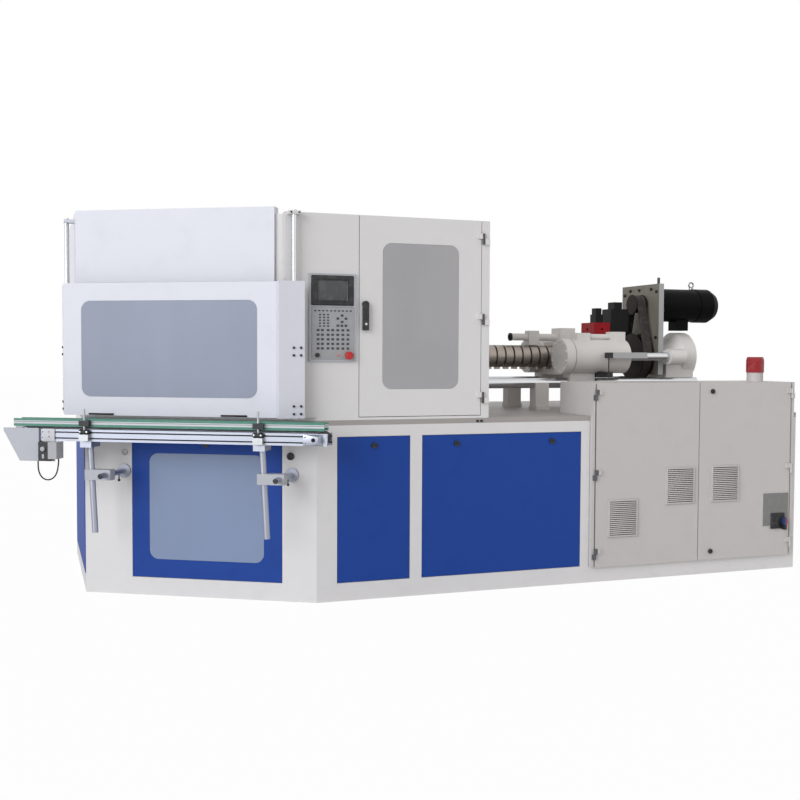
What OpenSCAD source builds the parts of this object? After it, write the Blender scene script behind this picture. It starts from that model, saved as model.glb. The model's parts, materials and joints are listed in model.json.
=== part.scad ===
// Injection blow moulding machine: three-station index turret under a hood,
// horizontal screw injection unit, control cabinet and take-off conveyor.
// The origin is the turret axis on the floor, +X runs along the injection unit.

/* [Base] */
// Width of the base, front to back
base_w = 2000; // [1900:10:2200]
// Distance from the turret axis to the left face
base_left = 827; // [800:1:860]
// Distance from the turret axis to the right end
base_right = 3704; // [3690:1:3800]
// Distance from the turret axis to the slanted eject face
eject_face = 666; // [660:1:672]
// Height of the base up to the table
base_h = 1042; // [1030:1:1050]
// Thickness of the floor pan
pan_t = 20; // [12:1:40]
// Thickness of the base walls
wall_t = 8; // [5:1:12]
// Thickness of the table plate
table_t = 30; // [20:1:40]

/* [Base panels] */
// Lower edge of the blue panels
panel_z = 107; // [90:1:140]
// Height of the blue panels
panel_h = 837; // [780:1:850]
// Thickness of the blue panels
panel_t = 12; // [8:1:20]
// Gap round a panel in its opening
panel_gap = 3; // [1:0.5:5]
// Left edge of the small panel
small_x = 523; // [500:1:540]
// Width of the small panel
small_w = 437; // [400:1:450]
// Left edge of the large panel
large_x = 1040; // [1020:1:1060]
// Width of the large panel
large_w = 1045; // [1000:1:1060]
// Middle of the eject panel along its face
eject_y = 184; // [170:1:190]
// Width of the eject panel
eject_w = 912; // [880:1:920]
// Width of the window in the eject panel
eject_win_w = 700; // [600:1:720]
// Height of the window in the eject panel
eject_win_h = 624; // [560:1:660]
// Thickness of the window sheets
pane_t = 6; // [4:1:8]
// Height of the quarter-turn locks above the floor
lock_z = 893; // [880:1:910]
// Diameter of a quarter-turn lock
lock_d = 34; // [26:1:40]

/* [Hood] */
// Right end of the hood
hood_right = 1461; // [1440:1:1500]
// Top of the hood
hood_top = 2211; // [2200:1:2230]
// Top of the upper box over the gate
box_top = 2250; // [2235:1:2280]
// Thickness of the hood walls
hood_t = 30; // [24:1:36]
// Lower edge of the hood panels and of the gate
skirt_z = 1060; // [1055:1:1066]
// Thickness of the hood door and the control panel
door_t = 30; // [24:1:36]
// Left edge of the hood door
door_left = 651; // [640:1:665]
// Right edge of the hood door
door_right = 1406; // [1395:1:1412]
// Left edge of the hood window
window_left = 790; // [770:1:800]
// Width of the hood window
window_w = 473; // [440:1:490]
// Lower edge of the hood window
window_z = 1217; // [1190:1:1240]
// Height of the hood window
window_h = 842; // [800:1:860]
// Corner radius of the windows
window_r = 55; // [40:1:70]
// Width of the border where a window sheet laps its panel
lap = 14; // [10:1:18]

/* [Gate] */
// Distance from the turret axis to the outside of the gate
gate_face = 776; // [770:1:790]
// Width of the gate
gate_w = 1280; // [1240:1:1300]
// Top of the gate
gate_top = 1823; // [1800:1:1840]
// Thickness of the gate sheet
gate_t = 10; // [6:1:14]
// Width of the gate window
gate_win_w = 1062; // [1000:1:1090]
// Height of the gate window
gate_win_h = 552; // [520:1:580]
// Lower edge of the gate window
gate_win_z = 1168; // [1150:1:1180]
// Diameter of the guide rods
rod_d = 28; // [20:1:32]

/* [Control unit] */
// Left edge of the control unit
hmi_x = 352; // [345:1:360]
// Width of the control unit
hmi_w = 275; // [260:1:285]
// Lower edge of the control unit
hmi_z = 1377; // [1360:1:1390]
// Height of the control unit
hmi_h = 496; // [480:1:510]
// How far the control unit stands out from its panel
hmi_t = 14; // [10:1:20]
// Diameter of the emergency stop head
stop_d = 46; // [38:1:50]
// Travel of the emergency stop
stop_travel = 6; // [4:0.5:7]

/* [Turret and moulds] */
// Height of the parting plane and of the injection axis
axis_z = 1410; // [1400:1:1420]
// Distance from the axis to a turret face
turret_face = 200; // [190:1:205]
// Height of the turret head
turret_h = 60; // [50:1:64]
// Lift of the turret above the parting plane
turret_lift = 40; // [38:1:44]
// Diameter of a core rod
core_d = 24; // [18:1:26]
// Length of a core rod
core_len = 170; // [150:1:175]
// Spacing of the core rods
core_pitch = 56; // [50:1:58]
// Number of core rods on a face
core_count = 6; // [2:1:6]
// Opening of the moulds
mould_open = 160; // [140:1:170]
// Diameter of the tie bars
tie_d = 50; // [40:1:52]
// Diameter of a clamp ram
ram_d = 90; // [70:1:100]

/* [Injection unit] */
// Outside diameter of the barrel
barrel_d = 110; // [90:1:116]
// Outside diameter of the heater bands
band_d = 155; // [140:1:160]
// Width of a heater band
band_w = 53; // [48:1:60]
// Spacing of the heater bands
band_pitch = 66; // [64:1:72]
// Front end of the barrel
barrel_x = 800; // [780:1:820]
// Front face of the feed block
feed_x = 2400; // [2390:1:2410]
// Length of the feed block
feed_len = 190; // [170:1:200]
// Width of the feed block
feed_w = 250; // [220:1:270]
// Top of the feed block above the injection axis
feed_up = 200; // [180:1:210]
// Diameter of the feed throat
throat_d = 60; // [40:1:70]
// Half spacing of the injection cylinders
ram_y = 260; // [255:1:270]
// Diameter of an injection cylinder
cyl_d = 236; // [210:1:240]
// Front end of the injection cylinders
cyl_x = 2320; // [2310:1:2330]
// Length of the injection cylinders
cyl_len = 500; // [496:1:510]
// Diameter of a piston rod
piston_d = 60; // [45:1:70]
// Half spacing of the guide shafts
guide_y = 220; // [215:1:230]
// Height of the guide shafts
guide_z = 1226; // [1215:1:1232]
// Diameter of the guide shafts
guide_d = 72; // [60:1:74]
// Diameter of the screw
screw_d = 55; // [45:1:58]
// Front face of the large pulley
pulley_x = 3046; // [3045:1:3050]
// Width of the pulleys
pulley_w = 86; // [70:1:88]
// Pitch diameter of the large pulley
pulley_d = 320; // [290:1:330]
// Pitch diameter of the motor pulley
pinion_d = 130; // [110:1:150]
// Thickness of the belt
belt_t = 9; // [6:1:11]
// Front face of the motor plate
plate_x = 3150; // [3148:1:3156]
// Thickness of the motor plate
plate_t = 40; // [30:1:50]
// Height of the motor axis above the floor
motor_z = 1790; // [1770:1:1800]
// Diameter of the motor
motor_d = 242; // [220:1:250]
// Length of the motor
motor_len = 540; // [520:5:560]

/* [Cabinet] */
// Left side of the cabinet
cab_x = 2150; // [2145:1:2160]
// Width of the cabinet
cab_w = 1514; // [1480:1:1520]
// Depth of the cabinet body
cab_d = 405; // [380:1:420]
// Top of the cabinet
cab_top = 1246; // [1236:1:1260]
// Lower edge of the cabinet doors
cab_z = 97; // [90:1:110]
// Thickness of the cabinet sheet
cab_t = 10; // [8:1:16]
// Thickness of a cabinet door
cab_door_t = 24; // [20:1:28]
// Gap between the cabinet doors
door_gap = 6; // [4:1:8]
// Diameter of the beacon
beacon_d = 118; // [100:1:124]

/* [Conveyor] */
// Distance from the turret axis to the middle of the conveyor
conv_r = 886; // [880:1:895]
// Width of the conveyor beam
beam_w = 110; // [100:1:120]
// Underside of the conveyor beam
beam_z = 921; // [915:1:925]
// Height of the conveyor beam
beam_h = 67; // [60:1:70]
// Drive end of the conveyor along its run
drive_y = -800; // [-810:1:-790]
// Tail end of the conveyor along its run
tail_y = 940; // [930:1:950]
// Diameter of the conveyor rollers
roller_d = 58; // [50:1:60]
// Height of the guide rails
rail_h = 44; // [38:1:48]
// Diameter of the posts
post_d = 35; // [30:1:38]
// Length of the posts
post_len = 512; // [480:1:540]
// Lean of the posts along the conveyor
post_lean = 3; // [0:0.5:4]
// Diameter of the arms
arm_d = 32; // [26:1:36]
// Height of the arms
arm_z = 730; // [715:1:740]
// Place of the left arm along the conveyor
arm_left = -320; // [-340:1:-300]
// Place of the right arm along the conveyor
arm_right = 700; // [680:1:720]
// Distance between an arm and its post
arm_offset = 95; // [85:1:105]

/* [Fits] */
// Running clearance on a radius
run_fit = 0.06; // [0.03:0.01:0.1]
// Clearance between parts that pass each other
clear = 1; // [0.4:0.1:2]
// Seat clearance of a fixed round part
seat = 0.05; // [0.02:0.01:0.1]

/* [Hidden] */
$fn = 64;

front = -base_w / 2;
back = base_w / 2;
stations = [0, 120, 240];
// Where the slanted face meets the front plane and the left plane, in its own frame
corner_y = (base_w / 2 - eject_face * sin(60)) / cos(60);
corner_x = -eject_face / 2 + corner_y * sin(60);

// Panel seats and locks
ledge = 16;
pane_gap = 1;
eject_win_z = panel_z + (panel_h - eject_win_h) / 2;
lock_shank = 14;
lock_head = 10;
lock_gap = 0.4;
cam_t = 6;
cam_w = 16;
cam_len = 45;
small_lock_x = small_x + small_w / 2;
large_lock_x = [large_x + 215, large_x + large_w - 200];
// Hydraulic unit
tank_x = 900;
tank_len = 1000;
tank_w = 900;
tank_h = 380;
pump_d = 220;
pipe_x = 1640;
pipe_d = 140;
reach = 4 * base_right;
// Hood
frame_lap = 40;
hood_gap = 4;
pillar_x = 217;
pillar_y = front + 104;
box_face = eject_face + 20;
box_left = base_left + 43;
box_half = 603;
box_z = gate_top + 7;
hinge_x = door_right + 12;
hinge_y = front - 8.5;
hinge_d = 16;
hinge_pin = 8;
hinge_len = 66;
hinge_z = [skirt_z + 71, (skirt_z + hood_top) / 2 - 39.5, hood_top - 140];
// Lock lever on the hood door
lever_x = 683;
lever_z = [(skirt_z + hood_top) / 2 - 80.5, (skirt_z + hood_top) / 2 + 87.5];
lever_w = 36;
// Gate wings and guide rods
gate_right_x = -gate_face / 2 + gate_w / 2 * sin(60);
gate_left_x = -gate_face / 2 - gate_w / 2 * sin(60);
gate_left_y = -gate_face * sin(60) + gate_w / 4;
gate_right_y = -gate_face * sin(60) - gate_w / 4;
wing_y = front - 70;
wing_end = 313;
wing_back = -60;
// Inside of the slanted gate sheet at a place along X
function gate_inner_y(x) = -(gate_face - gate_t + x / 2) / sin(60);
rods = [[262, front - 30], [gate_left_x + gate_t + 17, -150]];
rod_bottom = skirt_z - 8;
rod_top = hood_top + 8;
rod_edge = rod_d / 2 + 2;
bearing_h = 80;
bearing_z = [skirt_z + 54, skirt_z + 372];
// Emergency stop
stop_x = hmi_x + hmi_w - 46;
stop_z = hmi_z + 34;
stop_stem = 22;
bracket_h = 18;
barrel_hole = 700;
// Turret and clamps
rod_z = axis_z + turret_lift;
head_r = 330;
shaft_d = 120;
mould_in = turret_face + 15;
mould_out = mould_in + 180;
mould_half = 190;
mould_h = 130;
platen_t = 50;
platen_half = 365;
platen_out = 600;
tie_x = [330, 540];
tie_y = 320;
top_z = hood_top - 251;
tie_end = 30;
ram_top = hood_top - 41;
ram_cap = 10;
ram_x = (mould_in + mould_out) / 2 + 90;
core_r = [for (i = [0 : core_count - 1]) (i - (core_count - 1) / 2) * core_pitch];
strip_x = turret_face + 20;
strip_t = 20;
strip_top = axis_z + 6;
comb_z = axis_z - 60;
comb_foot = 90;
comb_half = 60;
comb_foot_t = 25;
slot_half = core_d / 2 + 4;
slot_z = axis_z - 18;
tooth_from = concat([-mould_half], [for (y = core_r) y + slot_half]);
tooth_to = concat([for (y = core_r) y - slot_half], [mould_half]);
// Injection unit
block_out = 30;
block_side = 20;
runner_x = mould_out + block_out + 2 * seat;
runner_hole = 6;
runner_mouth = 46;
mouth_deep = 20;
nozzle_tip = mould_out + 100;
cross_x = plate_x + plate_t;
cross_t = 130;
web_t = 90;
boss_d = 112;
bell_len = 310;
bell_d = 356;
bell_rim = 100;
bell_neck = 60;
bell_cone = 130;
bell_edge = 12;
plate_hole = 10;
screw_x = barrel_x + 130;
screw_point = 50;
screw_end = cross_x + bell_len - 40;
web_half = 45;
cross_foot = [60, 290];
cross_foot_half = 150;
cross_foot_z = [axis_z - 165, axis_z - 60];
pulley_lip = 5;
lip_up = 16;
hub_wall = 50;
hub_out = 8;
shaft_from = 1480;
shaft_to = base_right - 254;
saddle_x = [2140, 2760, base_right - 330];
saddle_len = [100, 100, 66];
saddle_half = 60;
saddle_web = 46;
saddle_foot = 26;
nozzle_d = 64;
nozzle_bore = 8;
tip_d = 30;
tip_len = 40;
tip_taper = 20;
barrel_end = 20;
band_end = 4;
lug_in = 8;
lug_half = 12;
lug_drop = 14;
belt_gap = 0.4;
belt_edge = 8;
belt_steps = 36;
spindle_d = 50;
spigot_d = 80;
shaft_gap = 2;
core_seat = 40;
cavity_d = core_d + 16;
cavity_end = mould_out - 20;
foot_z = base_h + seat;
throat_neck = 44;
throat_floor = 75;
throat_slope = 20;
throat_bolt = 45;
body_up = 100;
body_down = 130;
shoe_half = 56;
shoe_top = axis_z - 80;
shoe_low = guide_z - 50;
arm_half = 40;
arm_inset = 20;
holder_half = 35;
holder_len = 78;
bolt_deep = 30;
tower_x = feed_x + 29;
tower_len = 116;
tower_half = 70;
throat_x = tower_x + tower_len / 2;
tube_x = feed_x - 325;
tube_z = axis_z + 135;
tube_d = 50;
holder_x = feed_x - 200;
cap_len = 70;
cap_step = 6;
gland_d = piston_d + 70;
gland_len = 20;
bore_x = cyl_x + 80;
rod_x = cyl_x + 90;
ports = [[114, 215, 162], [389, 492, 172]];
port_half = 45;
pipe_z = axis_z + 138;
pipe_od = 36;
pipe_lap = 10;
man_x = feed_x + 292;
man_z = axis_z + 153;
man_len = 130;
man_h = 90;
man_y = [-80, 108];
man_low = axis_z + 85;
man_gap = 55;
man_port_z = man_z + 42;
man_port_deep = 30;
man_port = [18, 24, 20];
valve_boxes = [
  [[23, -60, man_h], [83, 20, 150]], [[30, -50, 150], [76, 10, 194]],
  [[man_len, -70, 10], [man_len + 16, 90, 84]], [[man_len + 16, -64, 20], [man_len + 160, 64, 190]],
  [[man_len + 50, -50, 190], [man_len + 115, 40, 240]]];
cowl_len = 160;
cowl_round = 50;
cowl_step = 8;
flange_step = 10;
flange_len = 26;
terminal_x = [205, 310];
terminal_half = 50;
terminal_drop = 66;
pinion_len = 200;
plate_far = 300;
throat_hole = 13;
plate_half = 200;
plate_top = motor_z + 146;
pinion_shaft = 42;
bar_x = feed_x + feed_len + 50;
bar_y = -ram_y - cyl_d / 2 - 40;
bar_len = 270;
bar_half = 18;
bar_z = [axis_z - 12, axis_z + 28];
plug_len = 46;
standoff_len = 30;
lead_d = 9;
lead_len = 125;
// Cabinet
cab_front = front - 30;
cab_back = cab_front + cab_door_t + cab_d;
cab_mid = cab_x + cab_w / 2 + 20;
gear_plate_t = 20;
gear_side = 120;
gear_end = 90;
door_lock_z = [cab_z + 56, cab_top - 57];
door_lock_d = 30;
door_lock_t = 6;
door_lock_in = 91;
switch_plate_t = 4;
cab_pin_y = cab_front - 8.5;
cab_hinge_z = [cab_z + 52, (cab_z + cab_top) / 2 - 29.5, cab_top - 106];
switch_x = cab_x + cab_w - 83;
switch_z = cab_z + 225;
switch_plate_x = [switch_x - 158, switch_x + 49];
switch_plate_z = [switch_z - 30, switch_z + 194];
beacon_x = cab_x + cab_w - 140;
beacon_y = cab_front + 230;
beacon_base_h = 60;
dome_h = 105;
// Conveyor
belt_z = beam_z + beam_h;
roller_z = belt_z - roller_d / 2 + 6;
slat_t = 6;
arm_y = [arm_left, arm_right];
post_y = [for (y = arm_y) y - arm_offset];
clamp_h = 60;
post_gap = 12;
bracket_half = 34;
arm_len = conv_r - eject_face + 90;
flange_d = 80;
flange_t = 16;
belt_top = roller_z + roller_d / 2 + slat_t;
rail_z = belt_top + 2;
rail_gap = 84;
rail_t = 12;
rail_from = -870;
rail_to = 960;
drive_plate_y = [-681, -611];
drive_plate_t = 7;
rail_rod_d = 12;
rail_rod_out = beam_w / 2 + 14;
rail_rod_back = 10;
rail_rod_over = [8, 60];
cord_d = 8;
cord_points = [[950, -712, 805], [950, -712, 785], [950, -711, 765], [950, -706, 742], [950, -696, 722],
  [950, -680, 707], [950, -660, 700], [950, -638, 702], [950, -618, 713], [950, -603, 731],
  [950, -594, 753], [950, -589, 778], [950, -586, 802], [950, -586, 825]];
panels = [[small_x, small_w], [large_x, large_w]];
niche_gap = 3;
leaf_len = 40;
jamb_w = 18;
pin_side = 6;
left_pin_x = cab_x + jamb_w + 4;
right_pin_x = cab_x + cab_w - jamb_w - 4;
vent_t = 8;
vent_w = 214;
vent_h = 236;
profile_t = 14;
belt_w = 78;
roller_shaft = 20;
from_y = -690;
to_y = 900;
tie_pitch = 380;
slat_pitch = 40;
guard_y = [-922, -822, -704];
guard_z = beam_z - 116;
guard_top = beam_z + 72;
guard_half = 69;
guard_t = 10;
// Turns a shape drawn along +X to the eject station
module at_eject() { rotate([0, 0, 240]) children(); }

// Block between two corners
module block(low, high) { translate(low) cube(high - low); }

// Cylinder along X from a front end
module along_x(d, x0, x1, y, z) { translate([x0, y, z]) rotate([0, 90, 0]) cylinder(d=d, h=x1 - x0); }

// Plate with rounded corners, drawn in its width and height, thick along -Y
module rounded(w, h, t, r) {
  translate([0, t, 0]) rotate([90, 0, 0]) linear_extrude(t) union() {
    translate([r, 0]) square([w - 2 * r, h]);
    translate([0, r]) square([w, h - 2 * r]);
    for (x = [r, w - r]) for (y = [r, h - r]) translate([x, y]) circle(r);
  }
}

// Base

// Outline of the base, moved in by a distance on every side
module plan_inset(d) {
  intersection() {
    translate([-base_left + d, front + d]) square([base_right + base_left - 2 * d, base_w - 2 * d]);
    rotate(240) translate([eject_face - d - reach, -reach]) square([reach, 2 * reach]);
  }
}

// Outline of the base round the niche of the cabinet
module base_plan(d) {
  difference() {
    plan_inset(d);
    translate([cab_x - niche_gap - d, front - reach])
      square([cab_w + 2 * (niche_gap + d), reach + cab_back - front + niche_gap + d]);
  }
}

// Sheet-metal base: floor pan, walls round the niche, plinth and panel openings with their ledges
module base_shell() {
  color("gainsboro") difference() {
    union() {
      difference() {
        linear_extrude(base_h - table_t) base_plan(0);
        translate([0, 0, pan_t]) linear_extrude(base_h) base_plan(wall_t);
      }
      linear_extrude(pan_t) plan_inset(0);
      block([cab_x - niche_gap - clear, front, 0],
        [cab_x + cab_w + niche_gap + clear, cab_back + niche_gap + clear, cab_z - clear / 2]);
      translate([0, front, 0]) for (p = panels) panel_ledge(p[0], p[1]);
      on_slant() panel_ledge(eject_y - eject_w / 2, eject_w);
    }
    translate([0, front, 0]) for (p = panels) panel_pocket(p[0], p[1]);
    on_slant() panel_pocket(eject_y - eject_w / 2, eject_w);
  }
}

// Block that backs a panel whose outside lies in the plane y = 0
module panel_ledge(x, w) {
  block([x - ledge, 0, panel_z - ledge], [x + w + ledge, panel_t + wall_t, panel_z + panel_h + ledge]);
}

// Pocket of a panel with the opening behind it
module panel_pocket(x, w) {
  block([x - panel_gap, -clear, panel_z - panel_gap],
    [x + w + panel_gap, panel_t, panel_z + panel_h + panel_gap]);
  block([x + ledge, 0, panel_z + ledge], [x + w - ledge, panel_t + 2 * wall_t, panel_z + panel_h - ledge]);
}

// Machine table on the base, open over the hydraulic unit's pipes
module table_plate() {
  color("whitesmoke") translate([0, 0, base_h - table_t]) linear_extrude(table_t) difference() {
    base_plan(0);
    translate([pipe_x, 0]) circle(d=pipe_d);
  }
}

// Lift-off panel with its hole for a quarter-turn lock
module lift_panel(x, w, holes) {
  difference() {
    block([x, 0, panel_z], [x + w, panel_t, panel_z + panel_h]);
    for (h = holes) translate([h, 0, lock_z]) rotate([-90, 0, 0])
      cylinder(d=lock_shank + 2 * run_fit, h=3 * panel_t, center=true);
  }
}

// Two blue lift-off panels on the front
module front_panels() {
  color("royalblue") translate([0, front, 0]) {
    lift_panel(small_x, small_w, [small_lock_x]);
    lift_panel(large_x, large_w, [large_lock_x[0], large_lock_x[1]]);
  }
}

// Turns a front-facing shape onto the slanted face, its width running along the face
module on_slant() { at_eject() translate([eject_face, 0, 0]) rotate([0, 0, 90]) children(); }

// Blue lift-off panel under the gate, with a window opening
module eject_panel() {
  color("royalblue") on_slant() difference() {
    lift_panel(eject_y - eject_w / 2, eject_w, [eject_y]);
    translate([eject_y - eject_win_w / 2, -clear, eject_win_z])
      rounded(eject_win_w, eject_win_h, panel_t - pane_t + clear, window_r);
    translate([eject_y - eject_win_w / 2 + lap, 0, eject_win_z + lap])
      rounded(eject_win_w - 2 * lap, eject_win_h - 2 * lap, 3 * panel_t, window_r - lap);
  }
}

// Frosted sheet set into the eject panel
module eject_window() {
  color("lightsteelblue") on_slant() translate([eject_y - eject_win_w / 2 + pane_gap, panel_t - 2 * pane_t,
    eject_win_z + pane_gap])
    rounded(eject_win_w - 2 * pane_gap, eject_win_h - 2 * pane_gap, pane_t, window_r - pane_gap);
}

// Quarter-turn lock: slotted head in front of the panel, shank through it and cam behind it
module turn_lock() {
  color("dimgray") {
    difference() {
      translate([0, -lock_head, 0]) rotate([-90, 0, 0]) cylinder(d=lock_d, h=lock_head - lock_gap);
      block([-lock_d / 2 + 5, -lock_head - clear, -2], [lock_d / 2 - 5, -lock_head / 2, 2]);
    }
    translate([0, -lock_head / 2, 0]) rotate([-90, 0, 0])
      cylinder(d=lock_shank, h=lock_head / 2 + panel_t + wall_t + lock_gap + cam_t);
    translate([0, panel_t + wall_t + lock_gap, 0])
      block([-cam_w / 2, 0, -cam_w / 2], [cam_w / 2, cam_t, cam_len]);
  }
}
module lock_small() { translate([small_lock_x, front, lock_z]) turn_lock(); }
module lock_large_left() { translate([large_lock_x[0], front, lock_z]) turn_lock(); }
module lock_large_right() { translate([large_lock_x[1], front, lock_z]) turn_lock(); }
module lock_eject() { on_slant() translate([eject_y, 0, lock_z]) turn_lock(); }

// Oil tank in the base with its electric pump on the lid
module hydraulic_unit() {
  color("slategray") difference() {
    block([tank_x, -tank_w / 2, pan_t], [tank_x + tank_len, tank_w / 2, pan_t + tank_h]);
    block([tank_x + wall_t, -tank_w / 2 + wall_t, pan_t + wall_t],
      [tank_x + tank_len - wall_t, tank_w / 2 - wall_t, pan_t + tank_h - wall_t]);
  }
  color("dimgray") {
    block([tank_x + 150, -120, pan_t + tank_h], [tank_x + 520, 120, pan_t + tank_h + 30]);
    along_x(pump_d, tank_x + 140, tank_x + 540, 0, pan_t + tank_h + 30 + pump_d / 2 - 12);
    along_x(pump_d / 2, tank_x + 540, tank_x + 700, 0, pan_t + tank_h + 30 + pump_d / 2 - 12);
  }
}

// Hood

// Hood outline, moved in by a distance on every side
module hood_plan(d) {
  intersection() {
    plan_inset(d);
    translate([-reach, front]) square([reach + hood_right - d, base_w]);
  }
}

// Hood enclosure on the table with the door opening, the gate opening and the barrel opening
module hood_shell() {
  color("gainsboro") {
    difference() {
      union() {
        translate([0, 0, base_h]) linear_extrude(hood_top - base_h) hood_plan(0);
        block([pillar_x, front, skirt_z], [corner_x + hood_t, front + door_t + hood_t, hood_top]);
      }
      intersection() {
        translate([0, 0, base_h - clear])
          linear_extrude(hood_top - hood_t - base_h + clear) hood_plan(hood_t);
        block([-reach, front + door_t + hood_t, 0], [reach, reach, reach]);
      }
      block([door_left - hood_gap, front - clear, skirt_z - hood_gap],
        [door_right + hood_gap, front + door_t + clear, hood_top + clear]);
      block([door_left + frame_lap, front, skirt_z + frame_lap],
        [door_right - frame_lap, front + 3 * hood_t, hood_top - 2 * frame_lap]);
      at_eject() block([eject_face - 4 * hood_t, -gate_win_w / 2, skirt_z + frame_lap],
        [eject_face + clear, gate_win_w / 2, gate_top - frame_lap]);
      block([hood_right - 2 * hood_t, -barrel_hole / 2, base_h - clear],
        [hood_right + clear, barrel_hole / 2, axis_z + barrel_hole / 3]);
    }
    hinge_posts(hinge_x, hinge_y, hinge_z, leaf_len, 4, front);
    right_bracket(rod_bottom);
    right_bracket(hood_top - bracket_h);
    left_bracket(rod_bottom, base_left);
  }
}

// Leaf of a hinge half: a plate at the pin and a pad on the sheet behind it, past an inset
module hinge_leaf(x, y, z, leaf, inset, sheet) {
  side = sign(leaf);
  for (part = [[0, y + hinge_d / 4], [inset, sheet + clear / 2]])
    block([min(x + side * part[0], x + leaf), y - hinge_d / 4, z],
      [max(x + side * part[0], x + leaf), part[1], z + hinge_len / 2 - clear]);
}

// Fixed half of a row of hinges: an upright pin in a lower knuckle with its leaf
module hinge_posts(x, y, heights, leaf, inset, sheet) {
  for (z = heights) {
    translate([x, y, z]) cylinder(d=hinge_pin, h=hinge_len - clear);
    translate([x, y, z]) cylinder(d=hinge_d, h=hinge_len / 2 - clear);
    hinge_leaf(x, y, z, leaf, inset, sheet);
  }
}

// Moving half of a row of hinges: a bored upper knuckle with its leaf
module hinge_knuckles(x, y, heights, leaf, inset, sheet) {
  for (z = heights) difference() {
    union() {
      translate([x, y, z + hinge_len / 2]) cylinder(d=hinge_d, h=hinge_len / 2 - clear);
      hinge_leaf(x, y, z + hinge_len / 2, leaf, inset, sheet);
    }
    translate([x, y, z]) cylinder(d=hinge_pin + 2 * run_fit, h=2 * hinge_len);
  }
}

// Bracket of a guide rod at a height, reaching from the rod to a wall
module rod_bracket(r, z, low, high) {
  difference() {
    block([low[0], low[1], z], [high[0], high[1], z + bracket_h]);
    translate([r[0], r[1], z - clear]) cylinder(d=rod_d + 2 * seat, h=bracket_h + 2 * clear);
  }
}

// Bracket from the left guide rod to an upright wall
module left_bracket(z, wall) {
  rod_bracket(rods[1], z, [rods[1][0] - rod_edge, rods[1][1] - 35], [-wall + clear, rods[1][1] + 35]);
}

// Bracket from the right guide rod to the front pillar
module right_bracket(z) {
  rod_bracket(rods[0], z, [rods[0][0] - 35, rods[0][1] - 25], [rods[0][0] + 35, front + clear]);
}

// Cap over the gate side of the hood, standing proud of its walls
module upper_box() {
  color("gainsboro") {
    difference() {
      translate([0, 0, box_z]) linear_extrude(box_top - box_z) intersection() {
        translate([-box_left, pillar_y]) square([box_left + pillar_x, back - pillar_y]);
        rotate(240) translate([box_face - reach, -reach]) square([reach, reach + box_half]);
      }
      translate([0, 0, box_z - clear]) linear_extrude(hood_top + clear - box_z) hood_plan(0);
    }
    left_bracket(hood_top - bracket_h, box_left);
  }
}

// Hinged hood door with its window opening and hinge knuckles
module hood_door() {
  color("gainsboro") {
    difference() {
      block([door_left, front, skirt_z], [door_right, front + door_t - clear / 2, hood_top]);
      translate([window_left, front - clear, window_z])
        rounded(window_w, window_h, pane_t + clear, window_r);
      translate([window_left + lap, front, window_z + lap])
        rounded(window_w - 2 * lap, window_h - 2 * lap, 2 * door_t, window_r - lap);
      translate([lever_x, front, lever_z[1] - lever_w / 2]) rotate([-90, 0, 0])
        cylinder(d=lock_shank + 2 * run_fit, h=3 * door_t, center=true);
    }
    hinge_knuckles(hinge_x, hinge_y, hinge_z, -leaf_len, hinge_x - door_right + 2, front);
  }
}

// Frosted sheet in the hood door
module hood_window() {
  color("silver") translate([window_left + pane_gap, front, window_z + pane_gap])
    rounded(window_w - 2 * pane_gap, window_h - 2 * pane_gap, pane_t, window_r - pane_gap);
}

// Swing lever that locks the hood door
module hood_lock() {
  color("black") {
    block([lever_x - lever_w / 2, front - 26, lever_z[0]],
      [lever_x + lever_w / 2, front - 10, lever_z[1] - lever_w / 2]);
    translate([lever_x, front - 26, lever_z[1] - lever_w / 2]) rotate([-90, 0, 0])
      cylinder(d=lever_w, h=26 - lock_gap);
    translate([lever_x, front - 12, lever_z[1] - lever_w / 2]) rotate([-90, 0, 0])
      cylinder(d=lock_shank, h=12 + door_t - clear);
  }
}

// Sliding gate of folded sheet: slanted front with its window opening, right wing and left wing
module gate_panel() {
  color("gainsboro") {
    difference() {
      translate([0, 0, skirt_z]) linear_extrude(gate_top - skirt_z) polygon([
        [gate_left_x, wing_back], [gate_left_x, gate_left_y], [gate_right_x, gate_right_y],
        [gate_right_x, wing_y], [wing_end, wing_y], [wing_end, wing_y + gate_t],
        [gate_right_x + gate_t, wing_y + gate_t],
        [gate_right_x + gate_t, gate_inner_y(gate_right_x + gate_t)],
        [gate_left_x + gate_t, gate_inner_y(gate_left_x + gate_t)], [gate_left_x + gate_t, wing_back]]);
      at_eject() translate([gate_face, 0, 0]) rotate([0, 0, 90]) {
        translate([-gate_win_w / 2, -clear, gate_win_z])
          rounded(gate_win_w, gate_win_h, pane_t + clear, window_r);
        translate([-gate_win_w / 2 + lap, 0, gate_win_z + lap])
          rounded(gate_win_w - 2 * lap, gate_win_h - 2 * lap, 2 * gate_t, window_r - lap);
      }
    }
  }
}

// Frosted sheet in the gate
module gate_window() {
  color("lightsteelblue") at_eject() translate([gate_face, 0, 0]) rotate([0, 0, 90])
    translate([-gate_win_w / 2 + pane_gap, 0, gate_win_z + pane_gap])
    rounded(gate_win_w - 2 * pane_gap, gate_win_h - 2 * pane_gap, pane_t, window_r - pane_gap);
}

// Bearing blocks of the gate on its guide rods
module gate_bearings() {
  color("dimgray") for (z = bearing_z) difference() {
    translate([0, 0, z - bearing_h / 2]) {
      block([rods[0][0] - 38, wing_y + gate_t, 0], [rods[0][0] + 38, front - 5, bearing_h]);
      block([gate_left_x + gate_t, rods[1][1] - 38, 0], [rods[1][0] + 28, rods[1][1] + 38, bearing_h]);
    }
    for (r = rods) translate([r[0], r[1], 0]) cylinder(d=rod_d + 2 * run_fit, h=reach);
  }
}

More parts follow.
